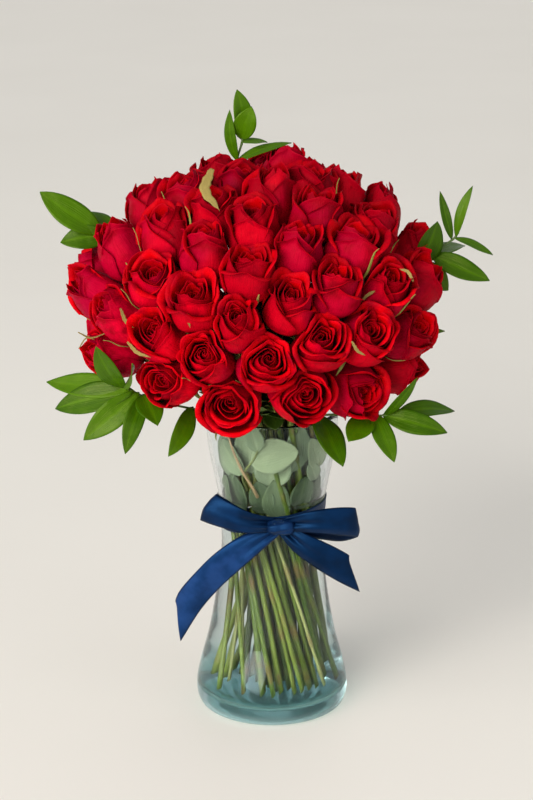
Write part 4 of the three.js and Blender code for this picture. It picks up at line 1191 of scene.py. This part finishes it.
def make_mouth_collar(pale, shaded_pale, bark):
    draw = draws("collars")
    for (name, collar), material in zip(COLLARS.items(), (pale, shaded_pale)):
        shape = Shape()
        for k in range(collar["count"]):
            angle = (k + 0.5 * draw()) * 2 * math.pi / collar["count"]
            low = mix(*collar["roots"], (k % 2 + draw()) / 2)
            swing = angle + mix(-0.35, 0.35, draw())
            start = heading(angle)
            inward = mix(1, COLLAR_IN_FRONT, max(0, -start[1]) ** 2)
            root = start * collar["radii"][0] * inward + UP * low
            high = low + mix(*collar["length"], draw())
            tip = heading(swing) * collar["radii"][1] * inward + UP * high
            leaf = (root, tip, mix(*collar["width"], draw()), start + UP * 0.1, 0.02)
            blade(shape, leaf, draw, True)
        shape.made(name, material, "pale_leaf")
    stalk = Shape()
    line = spline(BENT_TWIG, TWIG_STEPS)
    stalk.tube(line, np.linspace(0.8, 1.5, len(line)), TWIG_SIDES, 0.0)
    stalk.made("mouth_bent_twig", bark, "pale_leaf")


# ---------------------------------------------------------------- vase and water
LATHE_STEPS = 128
SWIRL = (-17.4, -14.1)           # where rings stand in the vase's floor


def vase_profile():
    """The vase's smooth outside, as rows of (radius, height), from the heel to the rim."""
    return spline([(radius, height, 0.0) for height, radius in VASE_OUTLINE], 6)[:, :2]


def unevenness(x, y, height):
    """How far the pressed floor of the vase rises at a place: soft waves, and a few rings."""
    if abs(height - FLOOR) > 1:
        return 0
    waves = 0.07 * math.sin(x / 9 + 1.6 * math.sin(y / 15)) * math.cos(y / 10 + math.sin(x / 13))
    apart = math.hypot(x - SWIRL[0], y - SWIRL[1])
    return waves + 0.06 * math.sin(apart * 1.5) * math.exp(-(apart / 10) ** 2)


def lathe(profile, name, material, stands_for):
    """A closed turned piece from rows of (radius, height), with a point on the axis at each end."""
    angle = np.arange(LATHE_STEPS) * 2 * math.pi / LATHE_STEPS
    points, faces = [], []
    for radius, height in profile:
        ring = [(radius * math.cos(a), radius * math.sin(a)) for a in angle]
        points += [(x, y, height + unevenness(x, y, height)) for x, y in ring]
    count = len(profile)
    for i in range(count - 1):
        for k in range(LATHE_STEPS):
            after = (k + 1) % LATHE_STEPS
            a, b = i * LATHE_STEPS + k, i * LATHE_STEPS + after
            faces.append((a, b, b + LATHE_STEPS, a + LATHE_STEPS))
    low, top = len(points), len(points) + 1
    points += [(0, 0, profile[0][1]), (0, 0, profile[-1][1])]
    last = (count - 1) * LATHE_STEPS
    for k in range(LATHE_STEPS):
        after = (k + 1) % LATHE_STEPS
        faces.append((after, k, low))
        faces.append((last + k, last + after, top))
    mesh = bpy.data.meshes.new(name)
    mesh.from_pydata([(x * MM, y * MM, z * MM) for x, y, z in points], [], faces)
    mesh.update()
    piece(name, mesh, material, stands_for)


def inner_radius(height):
    outside = vase_profile()
    return float(np.interp(height, outside[:, 1], outside[:, 0])) - VASE_WALL


def make_vase():
    outside = [tuple(row) for row in vase_profile()]
    inside = [(inner_radius(z), z) for z in np.linspace(*INNER_WALL, 60)]
    ripples = [(r, FLOOR) for r in range(FLOOR_RADIUS, 0, -1)]
    profile = VASE_FOOT + outside + VASE_RIM + inside + VASE_CORNER + ripples
    lathe(profile, "glass_vase", glass_material(), "vase_glass")
    floor = [(r + WATER_OVERLAP, z - WATER_OVERLAP) for r, z in ripples[::-1] + VASE_CORNER[::-1]]
    heights = np.linspace(INNER_WALL[1], WATER_LEVEL - 1, 40)
    wall = [(inner_radius(z) + WATER_OVERLAP, z) for z in heights]
    edge = inner_radius(WATER_LEVEL)
    surface = [(edge - inward, WATER_LEVEL + up) for inward, up in MENISCUS]
    surface += [(20, WATER_LEVEL), (1, WATER_LEVEL)]
    lathe(floor + wall + surface, "clear_water", water_material(), "water")


# ---------------------------------------------------------------- ribbon
def satin_piece(name, grid, run, gathered, tone, material, stands_for):
    """A piece of ribbon over a grid of points. run is how far along it each row lies, and gathered is
    how closely each row is gathered, from 0 to 1; the gathered rows are darkened as painted shade. tone
    is how much painted light the piece takes."""
    whole = np.ones(grid.shape[:2])
    u = np.linspace(-1, 1, STRIP_COLUMNS)
    uv = np.stack((whole * (u + 1) / 2, whole * run[:, None] / RIBBON_WIDTH), -1)
    # The ribbon's firm edges, and as painted shade the rows gathered near the knot.
    selvage_and_gather_shade = np.maximum(np.abs(u) > SELVAGE, gathered[:, None])
    shape = Shape()
    shape.leaf(grid, RIBBON_THICKNESS, tone, selvage_and_gather_shade, uv)
    return shape.made(name, material, "ribbon", stands_for)


def strip(name, stations, loop, material, draw):
    """A strip of the bow along its middle line, and its length in metres. Pleats fade away from the
    knot, to which a loop comes back. A tail ends in a slanting cut."""
    rows = spline(stations, STRIP_ROWS)
    middle, width, lean = rows[:, :3], rows[:, 3:4], rows[:, 4] * DEGREE
    run = run_along(middle)
    along = np.gradient(middle, axis=0)
    along /= np.linalg.norm(along, axis=1, keepdims=True)
    across = np.stack((np.sin(-lean), np.zeros(len(rows)), np.cos(lean)), -1)
    normal = np.cross(along, across)
    normal /= np.linalg.norm(normal, axis=1, keepdims=True)
    u = np.linspace(-1, 1, STRIP_COLUMNS)
    fade = np.exp(-run / GATHER_REACH)
    if loop:
        fade += np.exp(-(run[-1] - run) / GATHER_REACH)
    phase = draw() * 6.3
    pleats = (1.9 * fade[:, None] * np.sin(8.5 * u + phase)
              + 2.2 * (fade[:, None] ** 0.6) * np.sin(4.1 * u + 2 * phase)
              + 0.9 * np.sin(2.2 * u + run[:, None] / 16 + phase))
    outward = np.sign(-normal[:, 1:2] + 1e-6)
    pleats = pleats + STRIP_SWELL * (width / RIBBON_WIDTH) * (1 - u ** 2) * outward
    end = np.clip((run - run[-1] + TAIL_SLANT_REACH) / TAIL_SLANT_REACH, 0, 1)[:, None]
    shift = (0.0 if loop else TAIL_SLANT) * end ** 2 * u * width / 2
    grid = (middle[:, None, :] + across[:, None, :] * (width / 2 * u)[..., None]
            + normal[:, None, :] * pleats[..., None] + along[:, None, :] * shift[..., None])
    made = satin_piece("bow_" + name, grid, run, np.minimum(fade, 1), BOW_PAINTED_LIGHT[name], material,
                       "bow")
    return made, run[-1] * MM


def knot(material):
    """The knot: a turn of ribbon wrapped round the gathered middle, with slanting folds."""
    along = np.linspace(-1, 1, KNOT_ROWS)[:, None]
    angle = np.linspace(0, 2 * math.pi, KNOT_SIDES, endpoint=False)
    swell = 0.40 + 0.62 * np.sqrt(np.clip(1 - np.abs(along) ** 3, 0, 1))
    swell = swell - 0.08 * np.exp(-(along / 0.3) ** 2)
    folds = 1 + 0.05 * np.sin(3 * angle + 2.2 * along)
    folds = folds + 0.035 * np.sin(8 * angle + 3 * along + 1)
    whole = np.ones((KNOT_ROWS, KNOT_SIDES))
    loops = np.stack((whole * along * 0.5, swell * folds * np.cos(angle) / 2,
                      swell * folds * np.sin(angle) / 2), -1)
    loops = loops * KNOT_SIZE * KNOT_FULLER + KNOT_MIDDLE + KNOT_FORWARD
    uv = np.stack((whole * (along / 2 + 0.5), whole * angle / 2), -1)
    shape = Shape()
    shape.body(loops, loops[[0, -1]].mean(1), uv, whole[..., None] * KNOT_LIGHT_AND_SHADE)
    return shape.made("bow_knot", material, "ribbon")


def make_ribbon():
    satin = satin_material()
    angle = np.linspace(-math.pi / 2, 1.5 * math.pi, BAND_STEPS)
    from_knot = np.minimum(angle + math.pi / 2, 1.5 * math.pi - angle)
    pinch = np.exp(-(from_knot / BAND_PINCH_SPREAD) ** 2)
    half = RIBBON_WIDTH / 2 * (1 - BAND_PINCH * pinch)
    middle = mix(BAND_MIDDLE, KNOT_MIDDLE[2], pinch)
    u = np.linspace(-1, 1, STRIP_COLUMNS)
    height = middle[:, None] + half[:, None] * u
    reach = np.vectorize(lambda z: inner_radius(z) + VASE_WALL)(height) + BAND_CLEARANCE
    pleats = 0.9 * pinch[:, None] * (1 + np.sin(9 * u))
    reach = reach + (pleats + 0.15 * (1 + np.sin(6 * u + angle[:, None] * 2)))
    grid = np.stack((reach * np.cos(angle)[:, None], reach * np.sin(angle)[:, None], height), -1)
    length = float(np.linalg.norm(np.diff(grid[:, len(u) // 2], axis=0), axis=1).sum())
    run = np.linspace(0, length, BAND_STEPS)
    band = satin_piece("ribbon_round_neck", grid, run, np.zeros(BAND_STEPS), BAND_PAINTED_LIGHT, satin,
                       "ribbon_band")
    tied = knot(satin)
    for number, (name, stations) in enumerate(BOW_STRIPS.items()):
        loop = name.endswith("loop")
        made, length = strip(name, stations, loop, satin, draws("bow", number))


# ---------------------------------------------------------------- stage and light
FLOOR_HALF = 60.0                # metres
FLOOR_COLOURS = ((0.84, 0.80, 0.73), (0.88, 0.84, 0.77))
SKY = {"colour": (0.94, 0.97, 1.0, 1), "strength": 0.39}
# Lamps: kind, name, place in metres, power, size in metres or for a sun in degrees, and colour.
LAMPS = (
    ("SUN", "daylight", (-1.4, -2.4, 1.25), 3.45, 45, (1.0, 0.97, 0.93)),
    ("AREA", "soft_left", (-1.6, -1.4, 1.3), 26, 2.2, (1.0, 0.98, 0.95)),
    ("AREA", "soft_right", (1.9, -1.5, 1.2), 11, 2.0, (0.93, 0.96, 1.0)),
    ("SUN", "fill", (0.8, 2.4, 1.1), 0.4, 70, (0.97, 0.98, 1.0)),
)
LIT_PLACE = Vector((0, 0, 0.3))


def add_lamps():
    for kind, name, place, power, size, colour in LAMPS:
        data = bpy.data.lights.new(name, kind)
        if kind == "SUN":
            data.angle = size * DEGREE
        else:
            data.size = size
        data.energy = power
        data.color = colour
        lamp = linked(name, data)
        lamp.location = place
        lamp.rotation_euler = (LIT_PLACE - Vector(place)).to_track_quat("-Z", "Y").to_euler()


def add_stage():
    mesh = bpy.data.meshes.new("floor")
    corners = [(x * FLOOR_HALF, y * FLOOR_HALF, 0) for x, y in ((-1, -1), (1, -1), (1, 1), (-1, 1))]
    mesh.from_pydata(corners, [], [(0, 1, 2, 3)])
    nodes = Nodes("floor")
    grain = nodes.noise(nodes.place(), 3.0, 2.0)
    nodes.set(Base_Color=nodes.mix(grain, *FLOOR_COLOURS), Roughness=0.7)
    mesh.materials.append(nodes.material)
    linked("floor", mesh)
    bpy.context.scene.view_settings.view_transform = "Standard"
    world = bpy.data.worlds.new("studio")
    bpy.context.scene.world = world
    world.use_nodes = True
    sky = world.node_tree.nodes["Background"]
    sky.inputs[0].default_value = SKY["colour"]
    sky.inputs[1].default_value = SKY["strength"]


# ---------------------------------------------------------------- build
add_camera()
add_stage()
add_lamps()
heads = make_heads()
paths = make_stem_paths(heads)
make_roses(heads, paths)
make_stems(paths)
make_sepals(heads, paths)
make_foliage()
make_rose_leaves(heads, paths)
make_under_leaves(heads, paths)
make_dry_sepals()
make_vase()
make_ribbon()
